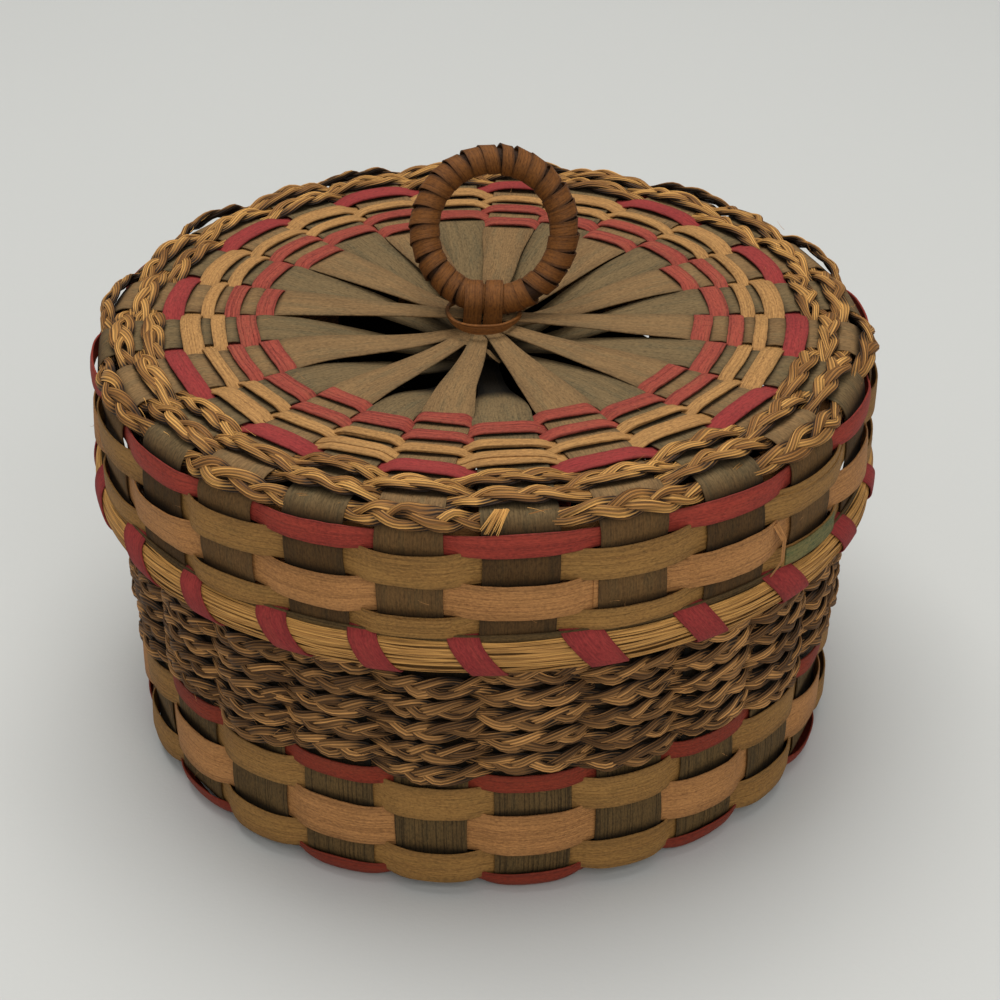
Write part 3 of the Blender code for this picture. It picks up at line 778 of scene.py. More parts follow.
def seam_angle(over):
    """Azimuth of a standard at the back that a row goes under, where its ends can meet unseen."""
    return standard_angle(0) if over == UPPER else standard_angle(-1)


def row_form(row):
    """How high a row rises, how deep it dips, and how squarely it turns, by where it lies."""
    share = float(np.clip((row.middle - EYE) / (row.dish.turn - EYE), 0, 1))
    rise = INNER_RISE + (RISE - INNER_RISE) * share**1.5
    dip = INNER_DIP + (DIP - INNER_DIP) * share
    return rise, dip, 0.28 + 0.52 * share


# %% A row of splint
def splint_row(row, seed, rise=None, dip=None, wider=0, shift=0, reach=None, lift=0, thick=THICK):
    """A row as a ring, or a part of one from one azimuth to another where reach gives them."""
    own_rise, own_dip, square = row_form(row)
    rise = rise or own_rise
    dip = dip or own_dip
    count = STANDARDS * ROW_STEPS
    if reach is None:
        theta = seam_angle(row.over) + np.arange(count) * 2 * math.pi / count
    else:
        steps = max(int((reach[1] - reach[0]) / (2 * math.pi) * count), 8)
        theta = np.linspace(reach[0], reach[1], steps)
    rng = np.random.default_rng(seed)
    way = weave_way(theta, row.over, square)
    on_wall = np.clip((row.middle - row.dish.turn) / row.dish.bend, 0, 1)
    size = 1 + waves(theta, seed + 5, 0.10, 5, 16)
    out = np.where(way > 0, rise * size, dip) * way + ROUND_EASE * on_wall + lift
    middle = row.middle + shift + waves(theta, seed + 1, 0.14 * MM, 2, 20)
    half = (row.half + wider) * (1 + waves(theta, seed + 2, 0.035, 3, 24)) + OVERLAP
    roll = waves(theta, seed + 3, 0.05, 3, 16) * np.clip(way, 0, 1)
    across = half[:, None] * ACROSS
    fray = waves(theta, seed + 4, 0.03 * MM, 60, 110)
    across = across + (fray[:, None] * np.sign(ACROSS)) * (np.abs(ACROSS) > 0.9)
    depth = out[:, None] + THROUGH * thick / 2 - CROWN * ACROSS**2 + roll[:, None] * across
    points = row.dish.point(theta[:, None], middle[:, None] + across, depth)
    along = ((theta - theta[0]) * row.middle)[:, None]
    tone = (rng.uniform(0.2, 0.8) + waves(theta, seed + 6, 0.25, 2, 12))[:, None]
    closed = reach is None
    return Sweep(by_hand(points, row.dish), closed, along, across, seed, tone, EDGE_SHADE)


def row_of(name):
    """The row that stands for a node."""
    return next(row for row in LID.rows + BODY.rows if row.name == name)


def weave(node, piece, finish, slot, seed, **form):
    """One whole row of splint, as the piece that replaces a node."""
    row = row_of(node)
    make_piece(piece, [splint_row(row, seed, **form)], ASH[finish], row.dish.body, [node])


# %% All the rows of splint
TAN_OF_ROW = {1: "olive_ash", 2: "tan_ash", 3: "olive_ash"}
SKIRT_WIDER = {1: 0.2 * MM, 2: 0, 3: 0}
WALL_WIDER = {1: 0.1 * MM, 2: 0, 3: 0.5 * MM}
WALL_RISE = 1.7 * MM
for number in (1, 2, 3):
    tan = TAN_OF_ROW[number]
    wider = SKIRT_WIDER[number]
    weave(f"lid_pink_row_{number}", f"pink_row_{number}", "pink_ash", "pink_ash", 200 + number)
    weave(f"lid_tan_row_{number}", f"top_tan_row_{number}", "khaki_ash", "tan_ash", 210 + number)
    node = f"skirt_tan_row_{number}"
    weave(node, f"lid_side_row_{number}", tan, "tan_ash", 240 + number, wider=wider, shift=-wider)
    node = f"body_tan_row_{number}"
    wider = WALL_WIDER[number]
    weave(node, f"wall_tan_row_{number}", tan, "tan_ash", 270 + number, rise=WALL_RISE, wider=wider)
for number in (1, 2):
    node = f"base_row_{number}"
    piece = f"under_row_{number}"
    weave(node, piece, "tan_ash", "tan_ash", 250 + number, rise=0.62 * MM, dip=0.75 * MM)
    node = f"body_broad_row_{number}"
    weave(node, f"hidden_row_{number}", "tan_ash", "tan_ash", 260 + number, rise=1.1 * MM)
weave("lid_magenta_row", "magenta_row", "magenta_ash", "magenta_ash", 220)
weave("skirt_red_row", "lid_red_row", "red_ash", "red_ash", 230, rise=1.2 * MM, wider=-OVERLAP)
low = {"rise": 1.5 * MM, "wider": 0.5 * MM, "shift": 1.1 * MM}
weave("body_red_row_low", "brick_row_low", "brick_ash", "red_ash", 280, **low)
weave("body_red_row_high", "brick_row_high", "brick_ash", "red_ash", 281, rise=1.6 * MM)
print("20 rows of splint")

# %% [markdown]
# ## Sweetgrass braid
# Three strands pass over each other in a flat figure of eight. Each strand is a bundle of blades,
# drawn as a tube with a ridge for each blade and a seam between each two. A braid spreads where
# it lies over a standard and draws in where it turns between two of them. Its notes carry painted
# shade in the seams, on the sides of a strand, where it passes under another and in the gaps
# between standards, and painted light on each strand's crown.

# %% A strand of blades
RIDGES = 9
RIDGE_POINTS = (0.0, 0.5)
STRAND_SECTION = (np.arange(RIDGES)[:, None] + RIDGE_POINTS).ravel() * 2 * math.pi / RIDGES
IS_SEAM = np.tile([0.0, 1.0], RIDGES)
SEAM_DEPTH = 0.17
# Painted shade in a strand's seams and on its sides, and painted light on its crown
SEAM_SHADE = 0.95
STRAND_SIDE_SHADE = 1.2
CROWN_LIGHT = 0.15
STRAND_TWIST = 120


def unit(vectors):
    """Vectors made one long."""
    return vectors / np.linalg.norm(vectors, axis=-1, keepdims=True)


def rings_round(path, ahead, outward, across, through):
    """Rings of points round a path, by how far each lies across it and towards the outside."""
    side = unit(np.cross(ahead, outward))
    up = np.cross(side, ahead)
    return path[:, None] + side[:, None] * across[..., None] + up[:, None] * through[..., None]


def tube(path, outward, half_across, half_through, closed, seed, twist, tone, length):
    """A strand along a path: a flattened tube with a ridge for each blade."""
    if closed:
        ahead = unit(np.roll(path, -1, axis=0) - np.roll(path, 1, axis=0))
        twist = round(twist * length[-1] / (2 * math.pi)) * 2 * math.pi / length[-1]
    else:
        ahead = unit(np.gradient(path, axis=0))
    around = STRAND_SECTION + twist * length[:, None]
    size = 1 - SEAM_DEPTH * IS_SEAM
    across = half_across[:, None] * np.cos(around) * size
    through = half_through[:, None] * np.sin(around) * size
    points = rings_round(path, ahead, outward, across, through)
    rng = np.random.default_rng(seed)
    blades = np.repeat(rng.uniform(0, 1, RIDGES), len(RIDGE_POINTS))
    sweep_across = STRAND_SECTION * float(np.mean(half_across))
    # Painted light and shade: a strand's crown is lighter and its underside darker
    crown_light = CROWN_LIGHT * (2 * np.sin(around) - 1.3)
    tones = np.clip(0.6 * blades + 0.4 * tone[:, None] + crown_light, 0, 1)
    # Painted shade on a strand's sides and in its seams
    side_shade = np.clip(0.66 - np.sin(around), 0, 1) ** 1.3
    shade = SEAM_SHADE * IS_SEAM + STRAND_SIDE_SHADE * side_shade
    return Sweep(points, closed, length[:, None], sweep_across, seed, tones, shade)


# %% Three strands in a braid
BRAID_SQUARE = 0.75
UNDER_SHADE = 0.8


class BraidForm:
    """How a braid runs: rise, dip, half width over a standard and in a gap, thickness of a
    strand, the length in which a strand crosses and comes back, and how much painted shade the gaps get."""

    def __init__(self, rise, dip, spread, gap, thick, period, gap_shade):
        self.rise = rise
        self.dip = dip
        self.spread = spread
        self.gap = gap
        self.thick = thick
        self.period = period
        self.gap_shade = gap_shade


LID_BRAID = BraidForm(1.6 * MM, 1.0 * MM, 2.5 * MM, 2.0 * MM, 0.64 * MM, 24 * MM, 0.3)
WALL_BRAID = BraidForm(2.3 * MM, 1.0 * MM, 2.75 * MM, 1.85 * MM, 0.64 * MM, 18.5 * MM, 1.0)


def braid(dish, middle, over, form, seed, theta, closed):
    """The three strands of one braid that lies over one set of standards."""
    distance = dish.spot(np.mean(middle))[0]
    length = (theta - theta[0]) * distance
    total = length[-1] + (length[1] - length[0] if closed else 0)
    rounds = round(total / form.period) if closed else total / form.period
    way = weave_way(theta, over, BRAID_SQUARE)
    on_wall = np.clip((np.mean(middle) - dish.turn) / dish.bend, 0, 1)
    swell = np.abs(way) ** 1.2
    rise = form.rise * (1 + waves(theta, seed, 0.07, 4, 20))
    out = np.where(way > 0, rise, form.dip) * way + ROUND_EASE * on_wall
    middle = middle + waves(theta, seed + 1, 0.16 * MM, 3, 24)
    half = (form.gap + (form.spread - form.gap) * swell) * (1 + waves(theta, seed + 2, 0.05, 6, 30))
    strands = []
    for strand in range(3):
        own = seed + 10 * (strand + 1)
        turn = 2 * math.pi * (rounds * length / total + strand / 3) + waves(theta, own, 0.35, 5, 40)
        fat = 1 + waves(theta, own + 1, 0.18, 8, 60)
        strand_half = 0.46 * half * fat
        across = (half - strand_half) * np.sin(turn)
        through = form.thick * 0.62 * np.sin(2 * turn) * (0.8 + 0.3 * swell)
        path = dish.point(theta, middle + across, out + through)
        above = dish.point(theta, middle + across, out + through + MM) - path
        tone = 0.5 + waves(theta, own + 2, 0.22, 4, 40)
        thin = form.thick * (1 + waves(theta, own + 3, 0.1, 8, 50))
        sweep = tube(path, unit(above), strand_half, thin, closed, own, STRAND_TWIST, tone, length)
        sweep.points = by_hand(sweep.points, dish)
        # Painted shade where a strand passes under another, and in the gaps between standards
        under = UNDER_SHADE * np.clip(-np.sin(2 * turn) - 0.2, 0, 1)
        in_gap_shade = form.gap_shade * np.clip(0.1 - way, 0, 1)
        sweep.shade = sweep.shade + (under + in_gap_shade)[:, None]
        strands.append(sweep)
    return strands


# %% The lid's four braids
LID_BRAID_STEP = 1.1 * MM
lid_grass = GRASS["lid_sweetgrass"]
for number in range(1, 5):
    row = row_of(f"lid_braid_{number}")
    count = int(2 * math.pi * LID.spot(row.middle)[0] / LID_BRAID_STEP)
    theta = seam_angle(row.over) + np.arange(count) * 2 * math.pi / count
    strands = braid(LID, row.middle, row.over, LID_BRAID, 300 + 50 * number, theta, True)
    make_piece(f"lid_braid_row_{number}", strands, lid_grass, "lid", [row.name])
print("4 braids on the lid")

# %% [markdown]
# ## The wall's two long braids
# The body's ten levels of braid are two long braids that climb the wall together, one over each
# set of standards. Each steps up two levels in the last four standards of a turn, at the back
# right, so the step is out of sight.

# %% Climbing braids
WALL_BRAID_STEP = 1.3 * MM
WALL_BRAID_TURNS = BRAID_LEVELS // 2
CLIMB_STANDARDS = 4


def climb(theta, first_level):
    """Where a climbing braid's middle lies along the wall."""
    place = (theta - standard_angle(0)) / PITCH
    turn = np.clip(np.floor(place / STANDARDS), 0, WALL_BRAID_TURNS - 1)
    in_turn = place - turn * STANDARDS
    share = np.clip((in_turn - (STANDARDS - CLIMB_STANDARDS) + 0.5) / CLIMB_STANDARDS, 0, 1)
    share = np.where(turn == WALL_BRAID_TURNS - 1, 0, share)
    levels = first_level + 2 * (turn + share * share * (3 - 2 * share))
    return BRAID_START + BRAID_HEIGHT / 2 + levels * BRAID_STEP


wall_grass = GRASS["wall_sweetgrass"]
for name, first_level, over in (("first", 0, UPPER), ("second", 1, LOWER)):
    first_angle = standard_angle(-0.3)
    last_angle = standard_angle(WALL_BRAID_TURNS * STANDARDS - CLIMB_STANDARDS - 0.7)
    count = int((last_angle - first_angle) * BODY.apothem / WALL_BRAID_STEP)
    theta = np.linspace(first_angle, last_angle, count)
    middle = climb(theta, first_level)
    strands = braid(BODY, middle, over, WALL_BRAID, 600 + 50 * first_level, theta, False)
    node = f"wall_braid_{name}"
    make_piece(f"climbing_braid_{name}", strands, wall_grass, "basket", [node])
print("2 braids on the wall")

# %% [markdown]
# ## Hoops, the rim's bundle of grass, and lashings
# Each rim has a hoop inside. The lid's has a bundle of loose sweetgrass outside it, and one dyed
# splint is wound round both, down the outside on the slant and up again inside. The bundle is a
# plain core, which nobody sees, with single blades laid on its outside.

# %% Hoops
HOOP_STEPS = 192
HOOP_THICK = 0.7 * MM
INNER_HOOP = -0.98 * MM
OUTER_HOOP = 0.62 * MM


def hoop(dish, start, end, inner, thick, seed):
    """A hoop of splint on a wall, from one length along the standards to another."""
    theta = np.arange(HOOP_STEPS) * 2 * math.pi / HOOP_STEPS
    middle, half = (start + end) / 2, (end - start) / 2
    across = half * ACROSS * (1 + waves(theta, seed, 0.03, 2, 20))[:, None]
    out = inner + thick / 2 + THROUGH * thick / 2 + 0 * theta[:, None]
    points = dish.point(theta[:, None], middle + across, out)
    along = (theta * middle)[:, None]
    tone = (0.5 + waves(theta, seed + 1, 0.2, 2, 9))[:, None]
    return Sweep(by_hand(points, dish), True, along, across, seed, tone, EDGE_SHADE)


for piece, node, dish, rim, inner, seed in (
    ("lid_hoop", "lid_inner_hoop", LID, LID_RIM, INNER_HOOP, 400),
    ("wall_inner_hoop", "body_inner_hoop", BODY, BODY_RIM, INNER_HOOP, 401),
    ("wall_outer_hoop", "body_outer_hoop", BODY, BODY_RIM, OUTER_HOOP, 402),
):
    one = hoop(dish, *rim, inner, HOOP_THICK, seed)
    make_piece(piece, [one], ASH["tan_ash"], dish.body, [node])

# %% The rim's bundle of grass
BLADES = 24
BLADE_STEPS = 300
BLADE_SPREAD = 2.7
BUNDLE_INNER = 0.55 * MM
BUNDLE_THICK = 2.1 * MM


def grass_bundle(seed):
    """The bundle of blades along the outside of the lid's rim, drawn in by each lashing."""
    theta = np.arange(BLADE_STEPS) * 2 * math.pi / BLADE_STEPS
    middle, half = (LID_RIM[0] + LID_RIM[1]) / 2, (LID_RIM[1] - LID_RIM[0]) / 2
    rng = np.random.default_rng(seed)
    core_across = 0.86 * half * np.cos(STRAND_SECTION)
    core_out = BUNDLE_INNER + BUNDLE_THICK * (0.32 + 0.34 * np.sin(STRAND_SECTION))
    points = LID.point(theta[:, None], middle + core_across + 0 * theta[:, None], core_out)
    along = (theta * middle)[:, None]
    # Painted shade darkens the core, which shows only deep between the blades
    sweeps = [Sweep(by_hand(points, LID), True, along, core_across, seed, 0.2, 0.6)]
    for blade in range(BLADES):
        lean = BLADE_SPREAD * ((blade + 0.5) / BLADES - 0.5)
        own = seed + 7 * blade
        slant = lean + waves(theta, own, 0.13, 2, 14)
        across = middle + half * 0.93 * np.sin(slant)
        draw = np.cos((theta - standard_angle(0.5)) * STANDARDS)
        out = BUNDLE_INNER + (BUNDLE_THICK - 0.22 * MM) * np.cos(slant) ** 0.8 - 0.12 * MM * draw
        out = out + waves(theta, own + 1, 0.09 * MM, 3, 18)
        path = LID.point(theta, across, out)
        outward = np.cos(slant)[:, None] * (LID.point(theta, across, out + MM) - path)
        outward = unit(outward + np.sin(slant)[:, None] * (LID.point(theta, across + MM, out) - path))
        width = rng.uniform(0.18, 0.31) * MM * (1 + waves(theta, own + 2, 0.15, 3, 30))
        thin = rng.uniform(0.13, 0.2) * MM * np.ones_like(theta)
        tone = rng.uniform(0.3, 1) + waves(theta, own + 3, 0.15, 3, 20)
        sweep = tube(path, outward, width, thin, True, own, 0.0, tone, theta * LID.apothem)
        sweep.points = by_hand(sweep.points, LID)
        # A loose blade keeps less of a strand's painted seam and side shade
        sweep.shade = sweep.shade * 0.4
        sweeps.append(sweep)
    return sweeps


rim_grass = GRASS["rim_sweetgrass"]
make_piece("rim_grass", grass_bundle(410), rim_grass, "lid", ["lid_rim_sweetgrass"])

# %% [markdown]
# ## Lashings
# One turn of a lashing is a short list of places: how far outside the wall it lies, how far down
# the rim, and how far it has moved on towards the next space. All turns together make one closed
# list, a smooth curve goes through it, and the strip is swept along that.

# %% Lashings
SMOOTH_STEPS = 4


def smoothed(knots, steps):
    """A closed smooth way through points, with some steps between each two."""
    before, after, beyond = (np.roll(knots, step, 0) for step in (1, -1, -2))
    way = []
    for t in np.arange(steps) / steps:
        square = (2 * before - 5 * knots + 4 * after - beyond) * t**2
        cube = (3 * knots - before - 3 * after + beyond) * t**3
        way.append(0.5 * (2 * knots + (after - before) * t + square + cube))
    return np.stack(way, 1).reshape(-1, knots.shape[1])


def lashing(dish, rim, way_round, half_angle, seed):
    """One splint wound through every space, by a list of places for one turn."""
    start, end = rim
    knots = []
    for turn in range(STANDARDS):
        for out, share, advance in way_round:
            angle = (turn + 0.5 + advance) * PITCH
            knots.append((out, start + (end - start) * share, math.cos(angle), math.sin(angle)))
    out, s, cosine, sine = smoothed(np.array(knots), SMOOTH_STEPS).T
    theta = np.arctan2(sine, cosine) + standard_angle(0)
    path = dish.point(theta, s, out)
    ahead = unit(np.roll(path, -1, 0) - np.roll(path, 1, 0))
    sideways = np.stack((-np.sin(theta), np.cos(theta), 0 * theta), -1)
    face = unit(np.cross(sideways, ahead))
    turn_wave = waves(theta, seed, 0.05, 5, 22)
    spread = half_angle * (1 + turn_wave)[:, None] * ACROSS
    level = dish.point(theta[:, None] + spread, s[:, None] + 0 * spread, out[:, None] + 0 * spread)
    points = level + face[:, None] * (THROUGH * THICK / 2)[:, None]
    along = np.cumsum(np.linalg.norm(path - np.roll(path, 1, 0), axis=1))[:, None]
    tone = (0.5 + waves(theta, seed + 1, 0.3, 4, 20))[:, None]
    across = half_angle * dish.apothem * ACROSS
    return Sweep(by_hand(points, dish), True, along, across, seed, tone, EDGE_SHADE)


# %% One turn of each lashing
# Distance outside the wall, share of the rim's height, and share of the way to the next space
LID_WIND = [
    (-1.25 * MM, 0.05, 0.0),
    (-0.3 * MM, -0.10, 0.0),
    (0.9 * MM, -0.07, 0.01),
    (2.3 * MM, 0.10, 0.045),
    (2.95 * MM, 0.35, 0.105),
    (2.95 * MM, 0.65, 0.175),
    (2.3 * MM, 0.90, 0.235),
    (0.9 * MM, 1.07, 0.26),
    (-0.3 * MM, 1.09, 0.26),
    (-1.25 * MM, 0.96, 0.27),
    (-1.35 * MM, 0.5, 0.63),
]
BODY_WIND = [
    (-1.25 * MM, 0.05, 0.0),
    (-0.3 * MM, -0.09, 0.0),
    (1.2 * MM, -0.06, 0.01),
    (1.65 * MM, 0.14, 0.05),
    (1.65 * MM, 0.5, 0.14),
    (1.65 * MM, 0.86, 0.23),
    (1.2 * MM, 1.06, 0.26),
    (-0.3 * MM, 1.09, 0.26),
    (-1.25 * MM, 0.96, 0.27),
    (-1.35 * MM, 0.5, 0.63),
]
LID_LASHING_HALF = 0.045
BODY_LASHING_HALF = 0.0405
bands = lashing(LID, LID_RIM, LID_WIND, LID_LASHING_HALF, 420)
make_piece("rim_lashing", [bands], ASH["magenta_ash"], "lid", ["lid_rim_lashing"])
bands = lashing(BODY, BODY_RIM, BODY_WIND, BODY_LASHING_HALF, 421)
make_piece("wall_lashing", [bands], ASH["tan_ash"], "basket", ["body_rim_lashing"])
print("rims done")

# %% [markdown]
# ## The ring
# A bent core is wound with one splint. One edge of each turn rides on the edge of the next, so
# the ring shows a lip and a slit at every turn. Painted shade darkens the core, which shows in the
# slits, and each turn's edge where it slips under the lip. The strip is as wide inside the ring as
# outside, so its turns crowd on the inside and open a little on the outside.

# %% The wound ring
PIVOT = Vector((0, 0, 0.09781))
RING_RADIUS = 14.7 * MM
CORE_RADIUS = 2.4 * MM
RING_LEAN = math.radians(-26)
RING_TIP = math.radians(9)
WINDS = 28
WIND_STEPS = 26
WIND_HALF = 1.66 * MM
WIND_RADIUS = 2.95 * MM
WIND_LIP = 0.15 * MM


def ring_point(azimuth, around, radius):
    """Points of the upright ring, whose foot is at the pivot. Azimuth 0 is the foot."""
    distance = RING_RADIUS + radius * np.cos(around)
    x = distance * np.sin(azimuth)
    z = RING_RADIUS - distance * np.cos(azimuth)
    return np.stack(np.broadcast_arrays(x, radius * np.sin(around), z), -1)


def leaned(points):
    """The ring tipped a little to the right and leaning back, on its pivot."""
    x = points[..., 0] * math.cos(RING_TIP) + points[..., 2] * math.sin(RING_TIP)
    z = points[..., 2] * math.cos(RING_TIP) - points[..., 0] * math.sin(RING_TIP)
    y = points[..., 1] * math.cos(RING_LEAN) - z * math.sin(RING_LEAN)
    z = points[..., 1] * math.sin(RING_LEAN) + z * math.cos(RING_LEAN)
    return np.stack((x, y, z), -1) + np.array(PIVOT)


core_azimuth = np.arange(96) * 2 * math.pi / 96
core_around = np.arange(12) * math.pi / 6
core_points = leaned(ring_point(core_azimuth[:, None], core_around, CORE_RADIUS))
core_along = (core_azimuth * RING_RADIUS)[:, None]
# Painted shade darkens the core, so the slits between the turns read dark
core = Sweep(core_points, True, core_along, core_around * CORE_RADIUS, 5, 0.0, 2.8)
make_piece("ring_core", [core], ASH["handle_ash"], "handle", ["handle_ring"])


def wound_ring(seed):
    """The splint wound round the ring, in one length."""
    rng = np.random.default_rng(seed)
    count = WINDS * WIND_STEPS
    turn = np.arange(count) / WIND_STEPS
    whole = np.arange(WINDS + 1)
    own = rng.normal(0, 1, (4, WINDS))
    own = np.concatenate((own, own[:, :1]), axis=1)
    half = WIND_HALF * (1 + 0.11 * eased(turn, whole, own[0]))
    azimuth = 2 * math.pi * turn / WINDS + 0.36 * MM * eased(turn, whole, own[1]) / RING_RADIUS
    radius = WIND_RADIUS + 0.07 * MM * eased(turn, whole, own[2])
    lip = WIND_LIP * (1 + 0.25 * eased(turn, whole, own[3]))
    around = 2 * math.pi * turn
    rings_out = RING_RADIUS + radius * np.cos(around)
    spread = half[:, None] * ACROSS / rings_out[:, None]
    flat = 0.12 * MM * np.cos(around)[:, None] * ACROSS**2
    level = radius[:, None] + lip[:, None] * ACROSS + THROUGH * THICK / 2 + flat
    slant = 0.22 * MM * np.sin(around) / RING_RADIUS
    points = ring_point((azimuth + slant)[:, None] + spread, around[:, None] + 0 * spread, level)
    tone = 0.5 + 0.25 * eased(turn, whole, own[0])
    along = turn * 2 * math.pi * WIND_RADIUS
    # Painted shade on a turn's edges, most on the edge that slips under the next turn
    edge = 1.8 * EDGE_SHADE + 1.2 * (ACROSS < -0.7)
    return Sweep(leaned(points), True, along[:, None], WIND_HALF * ACROSS, seed, tone[:, None], edge)


make_piece("ring_winding", [wound_ring(430)], ASH["handle_ash"], "handle", ["handle_wrap"])

# %% [markdown]
# ## What holds the ring
# Two narrow splint loops go over the ring's foot and down through the middle of the lid, and a
# thin splint hoop stands on edge round them. The hoop dips at the front and back, where it rests
# on lower splints.

# %% Ties and collar
TOP_OF_STACK = 0.09418
TIE_INNER = 3.85 * MM
TIE_SPAN = 1.9 * MM
TIE_FOOT = TOP_OF_STACK - 1.5 * MM


def tie_loop(middle, seed):
    """A splint loop over the ring's foot, with its two legs going down between the splints."""
    arch = np.linspace(0, math.pi, 25)
    outline = [(TIE_INNER * math.cos(a), PIVOT.z + TIE_INNER * math.sin(a)) for a in arch]
    legs = np.linspace(0, 1, 6)[1:]
    front = [(TIE_INNER * (1 - 0.25 * share), PIVOT.z + (TIE_FOOT - PIVOT.z) * share) for share in legs]
    back = [(-y, z) for y, z in front]
    way = np.array(front[::-1] + outline + back)
    ahead = unit(np.gradient(way, axis=0))
    face = np.stack((ahead[:, 1], -ahead[:, 0]), -1)
    across = TIE_SPAN * ACROSS[None] * (1 + waves(np.linspace(0, 3, len(way)), seed, 0.05)[:, None])
    lift = THROUGH * THICK / 2 - 0.12 * MM * ACROSS**2
    y = way[:, :1] + face[:, :1] * lift
    z = way[:, 1:] + face[:, 1:] * lift
    lean = 0.06 * (z - PIVOT.z)
    points = np.stack((middle + across + lean, y, z), -1)
    along = np.cumsum(np.linalg.norm(np.gradient(way, axis=0), axis=1))
    return Sweep(points, False, along[:, None], across, seed, 0.95, EDGE_SHADE)


def collar(seed):
    """The thin hoop on edge round the foot, lower and taller at the front and back."""
    theta = np.arange(72) * math.pi / 36
    saddle = np.sin(theta) ** 2
    bottom = TOP_OF_STACK + 0.25 * MM - 0.95 * MM * saddle
    top = TOP_OF_STACK + 0.72 * MM + 0.73 * MM * saddle
    middle, half = (bottom + top) / 2, (top - bottom) / 2
    height = middle[:, None] + half[:, None] * ACROSS
    middle_radius = 7.7 * MM + 0.25 * MM * saddle + waves(theta, seed, 0.15 * MM)
    radius = middle_radius[:, None] + THROUGH * 0.36 * MM
    points = turned(theta[:, None], radius, 0, height)
    return Sweep(points, True, (theta * 8 * MM)[:, None], half[:, None] * ACROSS, seed, 0.9)


loops = [tie_loop(-2.15 * MM, 440), tie_loop(2.15 * MM, 441)]
make_piece("ring_tie", loops, ASH["handle_ash"], "lid", ["handle_tie"])
make_piece("ring_collar", [collar(442)], ASH["handle_ash"], "lid", ["handle_collar"])
print("ring held")

# %% [markdown]
# ## Loose ends
# Split wood and dried grass never stay smooth. Hairs of wood stand off the strips, blades of grass
# work out of the braids, the front braid's end is frayed, and where one strip ran out the maker
# laid the next over it.

# %% Hairs and wisps
THREAD_SECTION = np.arange(5) * 2 * math.pi / 5
THREAD_STEPS = 9


def thread(path, outward, half_wide, half_thick, seed, tone):
    """A thin fibre along a path, which tapers to its end."""
    taper = 1 - 0.7 * np.linspace(0, 1, len(path))[:, None]
    across = half_wide * taper * np.cos(THREAD_SECTION)
    through = half_thick * taper * np.sin(THREAD_SECTION)
    points = rings_round(path, unit(np.gradient(path, axis=0)), outward, across, through)
    along = np.linalg.norm(path - path[0], axis=1)
    return Sweep(points, False, along[:, None], half_wide * THREAD_SECTION, seed, tone)


def hairs(dish, count, span, out, longest, lean, half_wide, seed):
    """Loose fibres on a dish, between two lengths along the standards."""
    rng = np.random.default_rng(seed)
    share = np.linspace(0, 1, THREAD_STEPS)
    sweeps = []
    for number in range(count):
        length = rng.uniform(0.35, 1) * longest
        heading = rng.normal(0, lean) + rng.choice((0, math.pi)) + rng.normal(0, 0.5) * share
        step = length / THREAD_STEPS
        start = rng.uniform(*span)
        s = start + np.cumsum(np.sin(heading)) * step
        theta = rng.uniform(0, 2 * math.pi) + np.cumsum(np.cos(heading)) * step / dish.spot(start)[0]
        lift = rng.uniform(*out) + rng.uniform(0.1, 1.1) * MM * share**1.5
        path = dish.point(theta, s, lift)
        outward = unit(dish.point(theta, s, lift + MM) - path)
        path = by_hand(path, dish)
        tone = rng.uniform(0, 1)
        sweeps.append(thread(path, outward, half_wide, half_wide * 0.6, seed + number, tone))
    return sweeps


TOP_SPAN = (LID.rows[0].middle, LID.rows[6].middle)
BRAID_SPAN = (LID.rows[7].middle, LID.rows[10].middle - 1 * MM)
SKIRT_SPAN = (LID.rows[11].middle, LID_RIM[1])
WALL_SPAN = (wall_levels[0].middle, wall_levels[-1].middle)
LOW_SPAN = (row_of("body_tan_row_1").middle, row_of("body_red_row_high").middle)
lid_hairs = hairs(LID, 60, SKIRT_SPAN, (1.3 * MM, 2.1 * MM), 3.6 * MM, 0.7, 0.045 * MM, 700)
lid_hairs += hairs(LID, 26, TOP_SPAN, (0.9 * MM, 1.4 * MM), 2.8 * MM, 0.8, 0.04 * MM, 900)
make_piece("lid_hairs", lid_hairs, ASH["tan_ash"], "lid", [])
lid_wisps = hairs(LID, 26, BRAID_SPAN, (1.7 * MM, 2.1 * MM), 5 * MM, 0.12, 0.07 * MM, 1100)
make_piece("lid_wisps", lid_wisps, lid_grass, "lid", [])
body_hairs = hairs(BODY, 36, LOW_SPAN, (1.3 * MM, 2.1 * MM), 3.2 * MM, 0.7, 0.045 * MM, 1300)
make_piece("body_hairs", body_hairs, ASH["tan_ash"], "basket", [])
body_wisps = hairs(BODY, 100, WALL_SPAN, (2.0 * MM, 2.7 * MM), 6 * MM, 0.3, 0.08 * MM, 1500)
make_piece("body_wisps", body_wisps, wall_grass, "basket", [])

# %% The frayed end of the front braid
TUFT_ANGLE = math.radians(274.6)
TUFT_BLADES = 15


